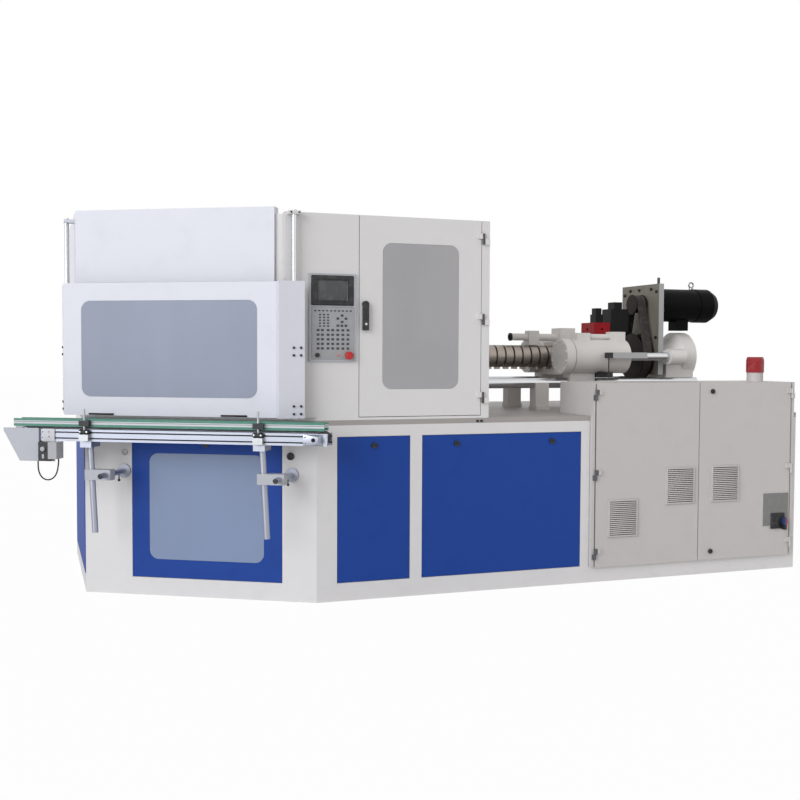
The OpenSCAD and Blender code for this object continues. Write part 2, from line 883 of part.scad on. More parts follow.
// Two upright guide rods of the gate
module guide_rods() {
  color("silver") for (r = rods) translate([r[0], r[1], rod_bottom])
    cylinder(d=rod_d, h=rod_top - rod_bottom);
}

// Control unit with screen recess and keypad
module control_unit() {
  color("lightgray") difference() {
    block([hmi_x, front - hmi_t, hmi_z], [hmi_x + hmi_w, front, hmi_z + hmi_h]);
    block([hmi_x + 48, front - 2 * hmi_t, hmi_z + hmi_h - 160],
      [hmi_x + 223, front - hmi_t + 3, hmi_z + hmi_h - 30]);
    translate([stop_x, front, stop_z]) rotate([90, 0, 0])
      cylinder(d=stop_stem + 2 * run_fit, h=4 * hmi_t, center=true);
  }
}

// Emergency stop button
module e_stop() {
  color("red") translate([stop_x, front - hmi_t, stop_z]) rotate([90, 0, 0]) {
    translate([0, 0, stop_travel + clear]) cylinder(d=stop_d, h=14);
    translate([0, 0, -hmi_t + stop_travel + clear]) cylinder(d=stop_stem, h=hmi_t);
  }
}

// Turret, moulds and clamps

// Lifting tube of the turret on its spindle, with the spigot that the head turns on
module turret_shaft() {
  foot = base_h + turret_lift + shaft_gap;
  shoulder = rod_z - turret_h / 2 - clear / 2;
  color("silver") difference() {
    union() {
      translate([0, 0, foot]) cylinder(d=shaft_d, h=shoulder - foot);
      translate([0, 0, shoulder]) cylinder(d=spigot_d, h=turret_h);
    }
    translate([0, 0, base_h]) cylinder(d=spindle_d + 2 * run_fit, h=rod_z - base_h);
  }
}

// Three-sided index head with bores for the spigot and the core rods
module turret_head() {
  color("lightslategray") difference() {
    translate([0, 0, rod_z - turret_h / 2]) linear_extrude(turret_h) intersection() {
      circle(r=head_r);
      intersection_for (a = stations) rotate(a)
        translate([turret_face - reach, -reach]) square([reach, 2 * reach]);
    }
    for (a = stations) rotate([0, 0, a]) for (y = core_r)
      along_x(core_d + 2 * seat, turret_face - core_seat, turret_face + clear, y, rod_z);
    translate([0, 0, base_h]) cylinder(d=spigot_d + 2 * run_fit, h=rod_z);
  }
}

// Core rods with rounded tips on all three faces
module core_rods() {
  color("goldenrod") for (a = stations) rotate([0, 0, a]) for (y = core_r) {
    along_x(core_d, turret_face - core_seat, turret_face + core_len - core_d / 2, y, rod_z);
    translate([turret_face + core_len - core_d / 2, y, rod_z]) sphere(d=core_d);
  }
}

// Mould half on one side of the parting plane: back plate, end wall and the ribs between cavities
module split_half(z, side) {
  floor_z = z + side * cavity_d / 2;
  side_y = mould_half + clear;
  difference() {
    block([mould_in, -mould_half, z + min(0, side * mould_h)],
      [mould_out, mould_half, z + max(0, side * mould_h)]);
    for (y = core_r) along_x(cavity_d, mould_in - clear, cavity_end, y, z);
    block([mould_in - clear, -side_y, floor_z - seat], [mould_out + clear, side_y, floor_z + seat]);
    block([cavity_end - seat, -side_y, z - cavity_d / 2], [cavity_end + seat, side_y, z + cavity_d / 2]);
  }
}

// Lower mould halves on their blocks, the runner block, the turret spindle, tie bars and top platens
module mould_frames() {
  color("gray") {
    for (a = [0, 120]) rotate([0, 0, a]) {
      split_half(axis_z, -1);
      block([mould_in, -mould_half - block_side, foot_z],
        [mould_out + block_out, mould_half + block_side, axis_z - mould_h]);
      clamp_frame();
    }
    difference() {
      block([runner_x, -mould_half, foot_z], [nozzle_tip, mould_half, axis_z + turret_lift]);
      translate([nozzle_tip - mouth_deep, 0, axis_z]) rotate([0, 90, 0])
        cylinder(d1=runner_hole, d2=runner_mouth, h=mouth_deep + clear);
    }
    translate([0, 0, foot_z]) cylinder(d=spindle_d, h=rod_z - foot_z - 2 * turret_lift);
  }
}

// Tie bars with the top platen and clamp cylinder of one mould
module clamp_frame() {
  for (x = tie_x) for (y = [-tie_y, tie_y])
    translate([x, y, foot_z]) cylinder(d=tie_d, h=top_z + platen_t + tie_end - foot_z);
  difference() {
    union() {
      block([mould_in, -platen_half, top_z], [platen_out, platen_half, top_z + platen_t]);
      translate([ram_x, 0, top_z + platen_t - clear])
        cylinder(d=2 * ram_d, h=ram_top + ram_cap + clear - top_z - platen_t);
    }
    translate([ram_x, 0, top_z - clear]) cylinder(d=ram_d + 2 * run_fit, h=ram_top - top_z + 2 * clear);
    for (x = tie_x) for (y = [-tie_y, tie_y])
      translate([x, y, top_z - clear]) cylinder(d=tie_d + 2 * seat, h=platen_t + 2 * clear);
  }
}

// Upper mould half on its moving platen and ram, at the open height
module upper_clamp() {
  color("silver") {
    split_half(axis_z + mould_open, 1);
    difference() {
      translate([0, 0, axis_z + mould_open + mould_h])
        block([mould_in, -platen_half, 0], [platen_out, platen_half, platen_t]);
      for (x = tie_x) for (y = [-tie_y, tie_y])
        translate([x, y, base_h]) cylinder(d=tie_d + 2 * run_fit, h=top_z - base_h);
    }
    translate([ram_x, 0, axis_z + mould_open + mould_h + platen_t])
      cylinder(d=ram_d, h=ram_top - axis_z - mould_open - mould_h - platen_t);
  }
}
module injection_clamp() { upper_clamp(); }
module blow_clamp() { rotate([0, 0, 120]) upper_clamp(); }

// Comb that pushes the bottles off the core rods, on its sliding foot
module stripper() {
  color("orange") at_eject() {
    block([strip_x, -mould_half, comb_z], [strip_x + strip_t, mould_half, slot_z]);
    for (i = [0 : core_count])
      block([strip_x, tooth_from[i], slot_z + 2 * seat], [strip_x + strip_t, tooth_to[i], strip_top]);
    translate([strip_x, 0, base_h]) block([0, -comb_half, clear / 2], [comb_foot, comb_half, comb_foot_t]);
    block([strip_x, -comb_half, base_h + clear / 2], [strip_x + strip_t, comb_half, comb_z]);
  }
}

// Injection unit

// Two guide shafts of the injection unit
module guide_shafts() {
  color("silver") for (y = [-guide_y, guide_y]) along_x(guide_d, shaft_from, shaft_to, y, guide_z);
}

// Saddles that carry the guide shafts on the table
module saddles() {
  color("gainsboro") for (i = [0 : len(saddle_x) - 1]) for (y = [-guide_y, guide_y]) difference() {
    translate([saddle_x[i], y, base_h]) union() {
      block([0, -saddle_half, 0], [saddle_len[i], saddle_half, saddle_foot]);
      block([0, -saddle_web, 0], [saddle_len[i], saddle_web, guide_z - base_h]);
    }
    along_x(guide_d + 2 * seat, saddle_x[i] - clear, saddle_x[i] + saddle_len[i] + clear, y, guide_z);
  }
}

// Heated barrel with its nozzle
module barrel() {
  color("dimgray") difference() {
    union() {
      along_x(barrel_d, barrel_x, feed_x + feed_len, 0, axis_z);
      along_x(nozzle_d, nozzle_tip + tip_len + tip_taper, barrel_x, 0, axis_z);
      translate([nozzle_tip + tip_len, 0, axis_z]) rotate([0, 90, 0])
        cylinder(d1=tip_d, d2=nozzle_d, h=tip_taper);
      translate([nozzle_tip + clear, 0, axis_z]) rotate([0, 90, 0]) cylinder(d=tip_d, h=tip_len);
    }
    along_x(screw_d + 2 * run_fit, barrel_x + barrel_end, feed_x + feed_len + clear, 0, axis_z);
    along_x(nozzle_bore, nozzle_tip, barrel_x + barrel_end + nozzle_bore, 0, axis_z);
    translate([throat_x, 0, axis_z]) cylinder(d=throat_neck, h=barrel_d);
  }
}

// Heater bands with their clamp lugs
module heater_bands() {
  color("rosybrown") for (x = [barrel_x + barrel_end : band_pitch : feed_x - band_w - band_end]) {
    difference() {
      union() {
        along_x(band_d, x, x + band_w, 0, axis_z);
        block([x + lug_in, -lug_half, axis_z - band_d / 2 - lug_drop],
          [x + band_w - lug_in, lug_half, axis_z - band_d / 4]);
      }
      along_x(barrel_d + 2 * seat, x - clear, x + band_w + clear, 0, axis_z);
    }
  }
}

// Feed block on its shoes: barrel bore, throat tower, lugs of both cylinders and the vent tube
module feed_block() {
  feed_end = feed_x + feed_len;
  color("whitesmoke") difference() {
    union() {
      block([feed_x, -feed_w / 2, axis_z - body_down], [feed_end, feed_w / 2, axis_z + body_up]);
      block([tower_x, -tower_half, axis_z], [tower_x + tower_len, tower_half, axis_z + feed_up]);
      block([feed_x + arm_inset, -ram_y, axis_z - arm_half],
        [feed_end - arm_inset, ram_y, axis_z + arm_half]);
      block([feed_x, -guide_y - shoe_half, axis_z - body_down], [feed_end, guide_y + shoe_half, shoe_top]);
      for (y = [-guide_y, guide_y])
        block([feed_x, y - shoe_half, shoe_low], [feed_end, y + shoe_half, shoe_top]);
      along_x(tube_d, tube_x, tower_x + clear, 0, tube_z);
      block([holder_x, -holder_half, axis_z + band_d / 2 + 2 * clear],
        [holder_x + holder_len, holder_half, tube_z + port_half]);
    }
    along_x(barrel_d + 2 * seat, feed_x - clear, feed_end + clear, 0, axis_z);
    translate([throat_x, 0, axis_z]) {
      cylinder(d=throat_neck, h=throat_floor - throat_slope);
      translate([0, 0, throat_floor - throat_slope]) cylinder(d1=throat_neck, d2=throat_d, h=throat_slope);
      translate([0, 0, throat_floor]) cylinder(d=throat_d, h=feed_up - throat_floor + clear);
      for (x = [-throat_bolt, throat_bolt]) for (y = [-throat_bolt, throat_bolt])
        translate([x, y, feed_up - bolt_deep]) cylinder(d=throat_hole, h=bolt_deep + clear);
    }
    for (y = [-ram_y, ram_y]) along_x(cyl_d + 2 * seat, feed_x - clear, feed_end + clear, y, axis_z);
    for (y = [-guide_y, guide_y])
      along_x(guide_d + 2 * run_fit, feed_x - clear, feed_end + clear, y, guide_z);
  }
}

// Injection cylinders with their front caps, rear glands, port blocks and pipes
module cylinders() {
  cyl_end = cyl_x + cyl_len;
  color("whitesmoke") for (y = [-ram_y, ram_y]) difference() {
    union() {
      along_x(cyl_d + cap_step, cyl_x, cyl_x + cap_len, y, axis_z);
      along_x(cyl_d, cyl_x + cap_len, cyl_end, y, axis_z);
      along_x(gland_d, cyl_end, cyl_end + gland_len, y, axis_z);
      for (p = ports) translate([cyl_x, y, axis_z])
        block([p[0], -port_half, cyl_d / 3], [p[1], port_half, p[2]]);
      along_x(pipe_od, cyl_x + ports[0][1] - pipe_lap, cyl_x + ports[1][0] + pipe_lap, y, pipe_z);
    }
    along_x(piston_d + 2 * run_fit, bore_x, cyl_end + gland_len + clear, y, axis_z);
  }
}

// Piston rods that push the crosshead
module piston_rods() {
  color("silver") for (y = [-ram_y, ram_y]) along_x(piston_d, rod_x, cross_x + cross_t, y, axis_z);
}

// Crosshead: web across both piston rods, bell housing of the screw bearing and its foot
module crosshead() {
  color("whitesmoke") difference() {
    union() {
      block([cross_x, -ram_y, axis_z - web_half], [cross_x + web_t, ram_y, axis_z + web_half]);
      for (y = [-ram_y, ram_y]) along_x(boss_d, cross_x, cross_x + cross_t, y, axis_z);
      translate([cross_x, 0, axis_z]) rotate([0, 90, 0]) rotate_extrude() polygon([
        [0, 0], [bell_d / 5, 0], [bell_d / 4, bell_neck], [bell_d / 3, bell_cone],
        [bell_d / 2, bell_len - bell_rim - bell_edge], [bell_d / 2, bell_len - bell_edge],
        [bell_d / 2 - bell_edge, bell_len], [0, bell_len]]);
      block([cross_x + cross_foot[0], -cross_foot_half, cross_foot_z[0]],
        [cross_x + cross_foot[1], cross_foot_half, cross_foot_z[1]]);
    }
    along_x(screw_d + 2 * run_fit, cross_x - clear, screw_end + bell_edge, 0, axis_z);
    for (y = [-ram_y, ram_y])
      along_x(piston_d + 2 * seat, cross_x - clear, cross_x + cross_t + clear, y, axis_z);
  }
}

// Upright plate that carries the motor on the crosshead
module motor_plate() {
  color("darkgray") difference() {
    block([plate_x, -plate_half, axis_z - body_down], [plate_x + plate_t, plate_far, plate_top]);
    along_x(screw_d + 2 * plate_hole, plate_x - clear, cross_x + clear, 0, axis_z);
    along_x(pinion_shaft + 2 * plate_hole, plate_x - clear, cross_x + clear, 0, motor_z);
    along_x(piston_d + plate_hole, plate_x - clear, cross_x + clear, ram_y, axis_z);
  }
}

// Screw motor with its rounded cooling cowl and terminal box
module motor() {
  motor_end = cross_x + motor_len;
  cowl_d = motor_d + cowl_step;
  color("black") difference() {
    union() {
      along_x(motor_d + flange_step, cross_x, cross_x + flange_len, 0, motor_z);
      along_x(motor_d, cross_x + flange_len, motor_end - cowl_len, 0, motor_z);
      along_x(cowl_d, motor_end - cowl_len, motor_end - cowl_round, 0, motor_z);
      translate([motor_end - cowl_round, 0, motor_z]) rotate([0, 90, 0])
        cylinder(d1=cowl_d, d2=motor_d - cowl_round, h=cowl_round);
      block([cross_x + terminal_x[0], -terminal_half, motor_z - motor_d / 2 - terminal_drop],
        [cross_x + terminal_x[1], terminal_half, motor_z - motor_d / 3]);
    }
    along_x(pinion_shaft + 2 * run_fit, cross_x - clear, cross_x + pinion_len + flange_len, 0, motor_z);
  }
}

// Plasticising screw with its shank
module screw() {
  color("silver") {
    along_x(screw_d, screw_x + screw_point, screw_end, 0, axis_z);
    translate([screw_x, 0, axis_z]) rotate([0, 90, 0]) cylinder(d1=runner_hole, d2=screw_d, h=screw_point);
  }
}

// Belt pulley with flanges, on a shaft along X
module pulley(d, z, bore) {
  translate([pulley_x, 0, z]) rotate([0, 90, 0]) difference() {
    union() {
      cylinder(d=d - belt_t, h=pulley_w);
      for (h = [0, pulley_w - pulley_lip]) translate([0, 0, h]) cylinder(d=d + lip_up, h=pulley_lip);
      cylinder(d=bore + hub_wall, h=pulley_w + hub_out);
    }
    translate([0, 0, -clear]) cylinder(d=bore + 2 * seat, h=pulley_w + hub_out + 2 * clear);
  }
}
module large_pulley() { color("saddlebrown") pulley(pulley_d, axis_z, screw_d); }
module motor_pulley() {
  color("saddlebrown") {
    pulley(pinion_d, motor_z, pinion_shaft);
    along_x(pinion_shaft, pulley_x, cross_x + pinion_len, 0, motor_z);
  }
}

// Points along an arc
function arc(r, from, to, steps) = [for (i = [0 : steps]) r * [cos(from + (to - from) * i / steps),
  sin(from + (to - from) * i / steps)]];

// Points of a loop round both pulleys at a distance from their pitch lines
function belt_loop(d) = let (
  span = motor_z - axis_z,
  reach_angle = 90 - asin((pulley_d - pinion_d) / 2 / span))
  concat(arc(pulley_d / 2 + d, reach_angle, 360 - reach_angle, belt_steps),
    [for (p = arc(pinion_d / 2 + d, -reach_angle, reach_angle, belt_steps)) p + [span, 0]]);

// Toothed belt round both pulleys
module drive_belt() {
  color("black") translate([pulley_x + belt_edge, 0, axis_z]) rotate([0, -90, 0]) mirror([0, 0, 1])
    linear_extrude(pulley_w - 2 * belt_edge) difference() {
      polygon(belt_loop(belt_t / 2));
      polygon(belt_loop(belt_gap - belt_t / 2));
    }
}

// Valve manifold on its carrier across both cylinders, with a solenoid valve and a valve stack
module manifold() {
  color("gainsboro") difference() {
    block([man_x, man_gap - ram_y, man_low], [man_x + man_len, ram_y - man_gap, man_z]);
    for (y = [-ram_y, ram_y]) along_x(cyl_d + 2 * seat, cyl_x, cyl_x + cyl_len, y, axis_z);
  }
  color("firebrick") difference() {
    block([man_x, man_y[0], man_z], [man_x + man_len, man_y[1], man_z + man_h]);
    translate([man_x + man_len / 2, man_y[0] - clear, man_port_z]) rotate([-90, 0, 0])
      cylinder(d=man_port[0], h=man_port_deep + clear);
    along_x(man_port[1], man_x - clear, man_x + man_port_deep, man_port[2], man_port_z);
  }
  color("black") translate([man_x, 0, man_z]) for (b = valve_boxes) block(b[0], b[1]);
}

// Position transducer along the near cylinder, with its standoffs, connector, lead and terminal
module transducer() {
  plug_x = bar_x - plug_len;
  terminal_z = axis_z - lead_len;
  color("darkgray") {
    block([bar_x, bar_y - bar_half, bar_z[0]], [bar_x + bar_len, bar_y + bar_half, bar_z[1]]);
    difference() {
      union() {
        for (x = [bar_x + standoff_len, bar_x + bar_len / 2])
          block([x, bar_y, bar_z[0] + lead_d],
            [x + standoff_len, lead_d - ram_y - cyl_d / 2, bar_z[1] - lead_d]);
        block([plug_x, bar_y - bar_half, terminal_z - bar_half],
          [plug_x + plug_len, -ram_y, terminal_z + bar_half]);
      }
      along_x(cyl_d + 2 * seat, cyl_x, cyl_x + cyl_len, -ram_y, axis_z);
    }
  }
  color("black") {
    block([plug_x, bar_y - bar_half + clear, bar_z[0] + clear],
      [bar_x, bar_y + bar_half - clear, bar_z[1] - clear]);
    translate([plug_x + plug_len / 2, bar_y, terminal_z]) cylinder(d=lead_d, h=lead_len);
  }
}

// Control cabinet

// Cabinet body set into the base, with front jambs, back plate, hinge pins and the beacon foot
module cabinet_body() {
  color("lightgray") {
    difference() {
      block([cab_x, cab_front + cab_door_t, cab_z], [cab_x + cab_w, cab_back, cab_top]);
      block([cab_x + cab_t, cab_front, cab_z + cab_t],
        [cab_x + cab_w - cab_t, cab_back - cab_t, cab_top - cab_t]);
    }
    for (x = [cab_x, cab_x + cab_w - jamb_w])
      block([x, cab_front, cab_z], [x + jamb_w, cab_front + cab_door_t + cab_t, cab_top]);
    block([cab_x + gear_side, cab_back - cab_t - gear_plate_t, cab_z + gear_end],
      [cab_x + cab_w - gear_side, cab_back - cab_t, cab_top - gear_end]);
    hinge_posts(left_pin_x, cab_pin_y, cab_hinge_z, -jamb_w, 4, cab_front);
    hinge_posts(right_pin_x, cab_pin_y, cab_hinge_z, jamb_w, 4, cab_front);
    translate([beacon_x, beacon_y, cab_top]) cylinder(d=beacon_d - 10, h=beacon_base_h);
  }
}

// Raised frame of a filter vent on a door
module vent(x, z) { block([x, cab_front - vent_t, z], [x + vent_w, cab_front + clear, z + vent_h]); }

// Left cabinet door with two filter vents
module left_door() {
  color("lightgray") {
    block([left_pin_x + pin_side, cab_front, cab_z],
      [cab_mid - door_gap / 2, cab_front + cab_door_t - clear / 2, cab_top]);
    vent(cab_x + 111, cab_z + 185);
    vent(cab_x + 528, cab_z + 374);
    hinge_knuckles(left_pin_x, cab_pin_y, cab_hinge_z, leaf_len, pin_side + 2, cab_front);
  }
}

// Right cabinet door with a vent, two locks and the bored plate of the main switch
module right_door() {
  color("lightgray") {
    difference() {
      union() {
        block([cab_mid + door_gap / 2, cab_front, cab_z],
          [right_pin_x - pin_side, cab_front + cab_door_t - clear / 2, cab_top]);
        block([switch_plate_x[0], cab_front - switch_plate_t, switch_plate_z[0]],
          [switch_plate_x[1], cab_front + clear, switch_plate_z[1]]);
      }
      translate([switch_x, cab_front, switch_z]) rotate([90, 0, 0])
        cylinder(d=lock_shank + 2 * run_fit, h=4 * cab_door_t, center=true);
    }
    vent(cab_mid + 90, cab_z + 376);
    for (z = door_lock_z) translate([cab_mid + door_lock_in, cab_front - door_lock_t, z]) rotate([-90, 0, 0])
      cylinder(d=door_lock_d, h=door_lock_t + clear);
    hinge_knuckles(right_pin_x, cab_pin_y, cab_hinge_z, -leaf_len, pin_side + 2, cab_front);
  }
}

// Main switch: round base, pointed grip and its spindle through the door
module isolator() {
  color("black") translate([switch_x, cab_front, switch_z]) rotate([90, 0, 0]) {
    translate([0, 0, switch_plate_t + lock_gap]) cylinder(d=60, h=14);
    translate([0, 0, 10]) linear_extrude(32) union() {
      translate([-9, -52]) square([18, 70]);
      translate([0, 18]) circle(d=18);
    }
    translate([0, 0, -cab_door_t]) cylinder(d=lock_shank, h=cab_door_t + 10);
  }
}

// Red dome of the beacon
module beacon_dome() {
  color("red") translate([beacon_x, beacon_y, cab_top + beacon_base_h]) {
    cylinder(d=beacon_d, h=dome_h - beacon_d / 4);
    translate([0, 0, dome_h - beacon_d / 4]) intersection() {
      scale(1) sphere(d=beacon_d);
      cylinder(d=beacon_d + clear, h=beacon_d / 4);
    }
  }
}

// Take-off conveyor, drawn in the frame of the eject station

// Point of the leaning post axis at the height of its arm
module leaning(y) { at_eject() translate([conv_r, y, arm_z]) rotate([post_lean, 0, 0]) children(); }

// Side outline of the conveyor, given its thickness across the conveyor
module side_view(half) {
  translate([conv_r - half, 0, 0]) rotate([90, 0, 90]) linear_extrude(2 * half) children();
}

// Cylinder across the conveyor
module across(d, half, y, z) { along_x(d, conv_r - half, conv_r + half, y, z); }

// Two slotted side profiles with their cross ties and roller bearings
module conveyor_beam() {
  color("silver") at_eject() {
    difference() {
      for (s = [-1, 1]) translate([conv_r + s * (beam_w - profile_t) / 2, 0, 0])
        block([-profile_t / 2, drive_y - 50, beam_z], [profile_t / 2, tail_y + 40, beam_z + beam_h]);
      for (s = [-1, 1]) for (z = [beam_z + beam_h / 4, beam_z + beam_h * 3 / 4])
        block([conv_r + s * beam_w / 2 - 4, from_y, z - 4], [conv_r + s * beam_w / 2 + 4, to_y, z + 4]);
      for (y = [drive_y, tail_y]) across(roller_shaft + 2 * run_fit, beam_w, y, roller_z);
    }
    for (y = [from_y + 60 : tie_pitch : to_y - tie_pitch / 2])
      block([conv_r - beam_w / 2 + profile_t - clear, y, roller_z - 10],
        [conv_r + beam_w / 2 - profile_t + clear, y + 30, roller_z + 10]);
  }
}

// Outline of the belt loop round both rollers
module loop_line(d) {
  for (y = [drive_y, tail_y]) translate([y, roller_z]) circle(d=d);
  translate([drive_y, roller_z - d / 2]) square([tail_y - drive_y, d]);
}

// Slat belt round the rollers, with its cross grooves
module slat_belt() {
  color("dimgray") at_eject() difference() {
    side_view(belt_w / 2) difference() {
      loop_line(roller_d + 2 * slat_t);
      loop_line(roller_d + 2 * belt_gap);
    }
    for (y = [drive_y : slat_pitch : tail_y])
      block([conv_r - belt_w, y, belt_top - slat_t / 3],
        [conv_r + belt_w, y + slat_t / 2, belt_top + clear]);
  }
}

// Roller with its shaft
module roller(y) {
  at_eject() {
    across(roller_d, belt_w / 2, y, roller_z);
    across(roller_shaft, beam_w / 2 + 3, y, roller_z);
  }
}
module drive_roller() { color("darkgray") roller(drive_y); }
module tail_roller() { color("black") roller(tail_y); }

// Guard round the drive end: two cheeks and the wrapped underside
module drive_cover() {
  color("gainsboro") at_eject() difference() {
    side_view(guard_half) guard_line(0);
    side_view(guard_half - guard_t) guard_line(guard_t);
    block([conv_r - guard_half + guard_t, -reach, belt_z - 20],
      [conv_r + guard_half - guard_t, reach, reach]);
  }
}

// Side view of the guard, moved in by a wall
module guard_line(d) {
  polygon([[guard_y[0] + d, guard_top + d], [guard_y[0] + d, guard_top - 16 - d / 4],
    [guard_y[1] + d / 2, guard_z + d], [guard_y[2] + d, guard_z + d], [guard_y[2] + d, guard_top + d]]);
}

// Side plate with the speed controller and the gearmotor
module gearmotor() {
  color("gray") at_eject() translate([conv_r + beam_w / 2, 0, 0]) {
    block([clear / 2, drive_plate_y[0], guard_z], [drive_plate_t, drive_plate_y[1], guard_top - 3 * clear]);
    block([drive_plate_t, drive_plate_y[0], guard_z + 6], [62, drive_plate_y[1] - 6, beam_z - 3 * clear]);
    block([clear / 2, drive_plate_y[1] - clear, guard_z + 20], [80, drive_plate_y[1] + 51, beam_z - clear]);
  }
}

// Front and rear guide rails with their clamps and rods on the beam
module guide_rails() {
  color("seagreen") at_eject() for (s = [-1, 1]) {
    over = s < 0 ? rail_rod_over[0] : rail_rod_over[1];
    translate([conv_r + s * rail_gap / 2, 0, 0])
      block([-rail_t / 2, rail_from, rail_z], [rail_t / 2, rail_to, rail_z + rail_h]);
    for (y = post_y) translate([conv_r, y - rail_rod_back, 0]) {
      translate([s * rail_rod_out, 0, beam_z]) cylinder(d=rail_rod_d, h=rail_z + rail_h + over - beam_z);
      translate([s * rail_rod_out, 0, 0]) block([-14, -28, beam_z + 4], [14, 28, beam_z + 40]);
      translate([s * (rail_gap / 2 + 13), 0, 0]) block([-7, -30, rail_z + 6], [22, 30, rail_z + rail_h - 6]);
    }
  }
}

// Leaning posts with their brackets under the beam
module posts() {
  color("silver") {
    for (y = post_y) leaning(y)
      translate([0, 0, beam_z - arm_z - post_gap - post_len]) cylinder(d=post_d, h=post_len);
    at_eject() for (y = post_y) {
      top_y = y - (beam_z - arm_z) * tan(post_lean);
      block([conv_r - beam_w / 2, top_y - bracket_half, beam_z - bracket_half],
        [conv_r + beam_w / 2, top_y + bracket_half, beam_z]);
    }
  }
}

// Cross clamps that hold each post on its arm
module cross_clamps() {
  color("lightgray") for (i = [0, 1]) difference() {
    at_eject() block([conv_r - clamp_h / 2, post_y[i] - clamp_h / 2, arm_z - clamp_h / 2],
      [conv_r + clamp_h / 2, arm_y[i] + clamp_h / 2, arm_z + clamp_h / 2]);
    at_eject() along_x(arm_d + 2 * run_fit, conv_r - reach, conv_r + reach, arm_y[i], arm_z);
    leaning(post_y[i]) cylinder(d=post_d + 2 * run_fit, h=4 * clamp_h, center=true);
  }
}

// Arms with their flanges on the slanted face
module arms() {
  color("silver") at_eject() for (y = arm_y) {
    along_x(arm_d, eject_face, eject_face + arm_len, y, arm_z);
    along_x(flange_d, eject_face, eject_face + flange_t, y, arm_z);
  }
}

// Short lead from the drive guard to the gearmotor
module drive_cable() {
  color("black") at_eject() tube(cord_points, cord_d, 8);
}

// Tube along a list of points, each ring square to the run of its neighbours
module tube(points, d, sides) {
  last = len(points) - 1;
  function run(i) = let (v = points[min(i + 1, last)] - points[max(i - 1, 0)]) v / norm(v);
  function along(i) = i == 0 ? [0, 0, -1] : i == last ? [0, 0, 1] : run(i);
  function ring(i) = let (u = [1, 0, 0], v = cross(along(i), u))
    [for (k = [0 : sides - 1]) points[i] + d / 2 * (cos(360 * k / sides) * u + sin(360 * k / sides) * v)];
  rings = [for (i = [0 : last]) each ring(i)];
  polyhedron(rings, concat(
    [[for (k = [0 : sides - 1]) k]],
    [[for (k = [sides - 1 : -1 : 0]) last * sides + k]],
    [for (i = [0 : last - 1]) for (k = [0 : sides - 1])
      let (next = (k + 1) % sides)
        [i * sides + k, (i + 1) * sides + k, (i + 1) * sides + next, i * sides + next]]));
}

base_shell();
table_plate();
front_panels();
eject_panel();
eject_window();
lock_small();
lock_large_left();
lock_large_right();
lock_eject();
hydraulic_unit();
hood_shell();
upper_box();
hood_door();
hood_window();
hood_lock();
gate_panel();
gate_window();
gate_bearings();
guide_rods();
control_unit();
e_stop();
turret_shaft();
turret_head();
core_rods();
mould_frames();
injection_clamp();
blow_clamp();
stripper();
guide_shafts();
saddles();
barrel();
heater_bands();
feed_block();
cylinders();
piston_rods();
crosshead();
motor_plate();
motor();
screw();
large_pulley();
motor_pulley();
drive_belt();
manifold();
transducer();
cabinet_body();
left_door();
right_door();
isolator();
beacon_dome();
conveyor_beam();
slat_belt();
drive_roller();
tail_roller();
drive_cover();
gearmotor();
guide_rails();
posts();
drive_cable();
cross_clamps();
arms();
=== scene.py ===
"""Finishes, small fittings and studio of a three-station injection blow moulding machine."""

import json
import math

import bmesh
import bpy
from mathutils import Matrix, Vector


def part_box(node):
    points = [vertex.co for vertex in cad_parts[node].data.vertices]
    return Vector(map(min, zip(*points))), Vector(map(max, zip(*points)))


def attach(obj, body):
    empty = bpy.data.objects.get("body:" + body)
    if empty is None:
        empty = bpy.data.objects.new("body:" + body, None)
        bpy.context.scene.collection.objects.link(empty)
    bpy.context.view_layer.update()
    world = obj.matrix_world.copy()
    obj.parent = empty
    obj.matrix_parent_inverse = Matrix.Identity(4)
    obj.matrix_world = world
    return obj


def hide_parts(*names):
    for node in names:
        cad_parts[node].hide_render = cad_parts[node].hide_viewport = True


bl_info = {
    "name": "Injection blow moulding machine",
    "version": (1, 0, 0),
    "blender": (4, 5, 0),
    "location": "3D View > Sidebar > Machine",
    "description": "Finishes, small fittings and studio of an injection blow moulding machine",
    "category": "Object",
}

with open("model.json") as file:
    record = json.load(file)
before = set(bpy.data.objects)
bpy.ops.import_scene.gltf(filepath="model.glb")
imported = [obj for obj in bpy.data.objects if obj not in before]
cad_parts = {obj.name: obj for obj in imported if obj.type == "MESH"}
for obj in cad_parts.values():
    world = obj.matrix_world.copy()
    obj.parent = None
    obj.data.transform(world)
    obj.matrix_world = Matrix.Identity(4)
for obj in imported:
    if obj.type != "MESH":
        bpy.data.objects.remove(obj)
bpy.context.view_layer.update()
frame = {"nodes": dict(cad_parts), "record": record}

UP = Vector((0, 0, 1))
FRONT = Vector((0, -1, 0))
EJECT_OUT = Vector((-0.5, -math.sqrt(0.75), 0))
EJECT_RIGHT = Vector((math.sqrt(0.75), -0.5, 0))
EJECT_TURN = math.radians(240)
LEFT = Vector((-1, 0, 0))
RIGHT = Vector((1, 0, 0))
SMOOTH_ANGLE = math.radians(35)

EJECT_FACE = 0.666
GATE_FACE = 0.776
CONVEYOR_LINE = 0.886
CONVEYOR_SIDE = 0.941
ARM_PLACES = (-0.320, 0.700)
ARM_HEIGHT = 0.730
HOOD_FRONT = -1.0
CABINET_FRONT = -1.030
PROUD = 0.0006
UNIT_AXIS = 1.41
CYLINDER_PLACES = (-0.26, 0.26)

FINISHES = {}


def at_eject(out, along, up):
    """Point at a distance from the turret axis, a place along the slanted face and a height."""
    return EJECT_OUT * out + EJECT_RIGHT * along + UP * up


def facing(place, out, up=UP):
    """Matrix that stands a pattern at a place: its Z points out, its Y points up."""
    out = out.normalized()
    right = up.cross(out).normalized()
    matrix = Matrix((right, out.cross(right), out)).transposed().to_4x4()
    matrix.translation = place
    return matrix


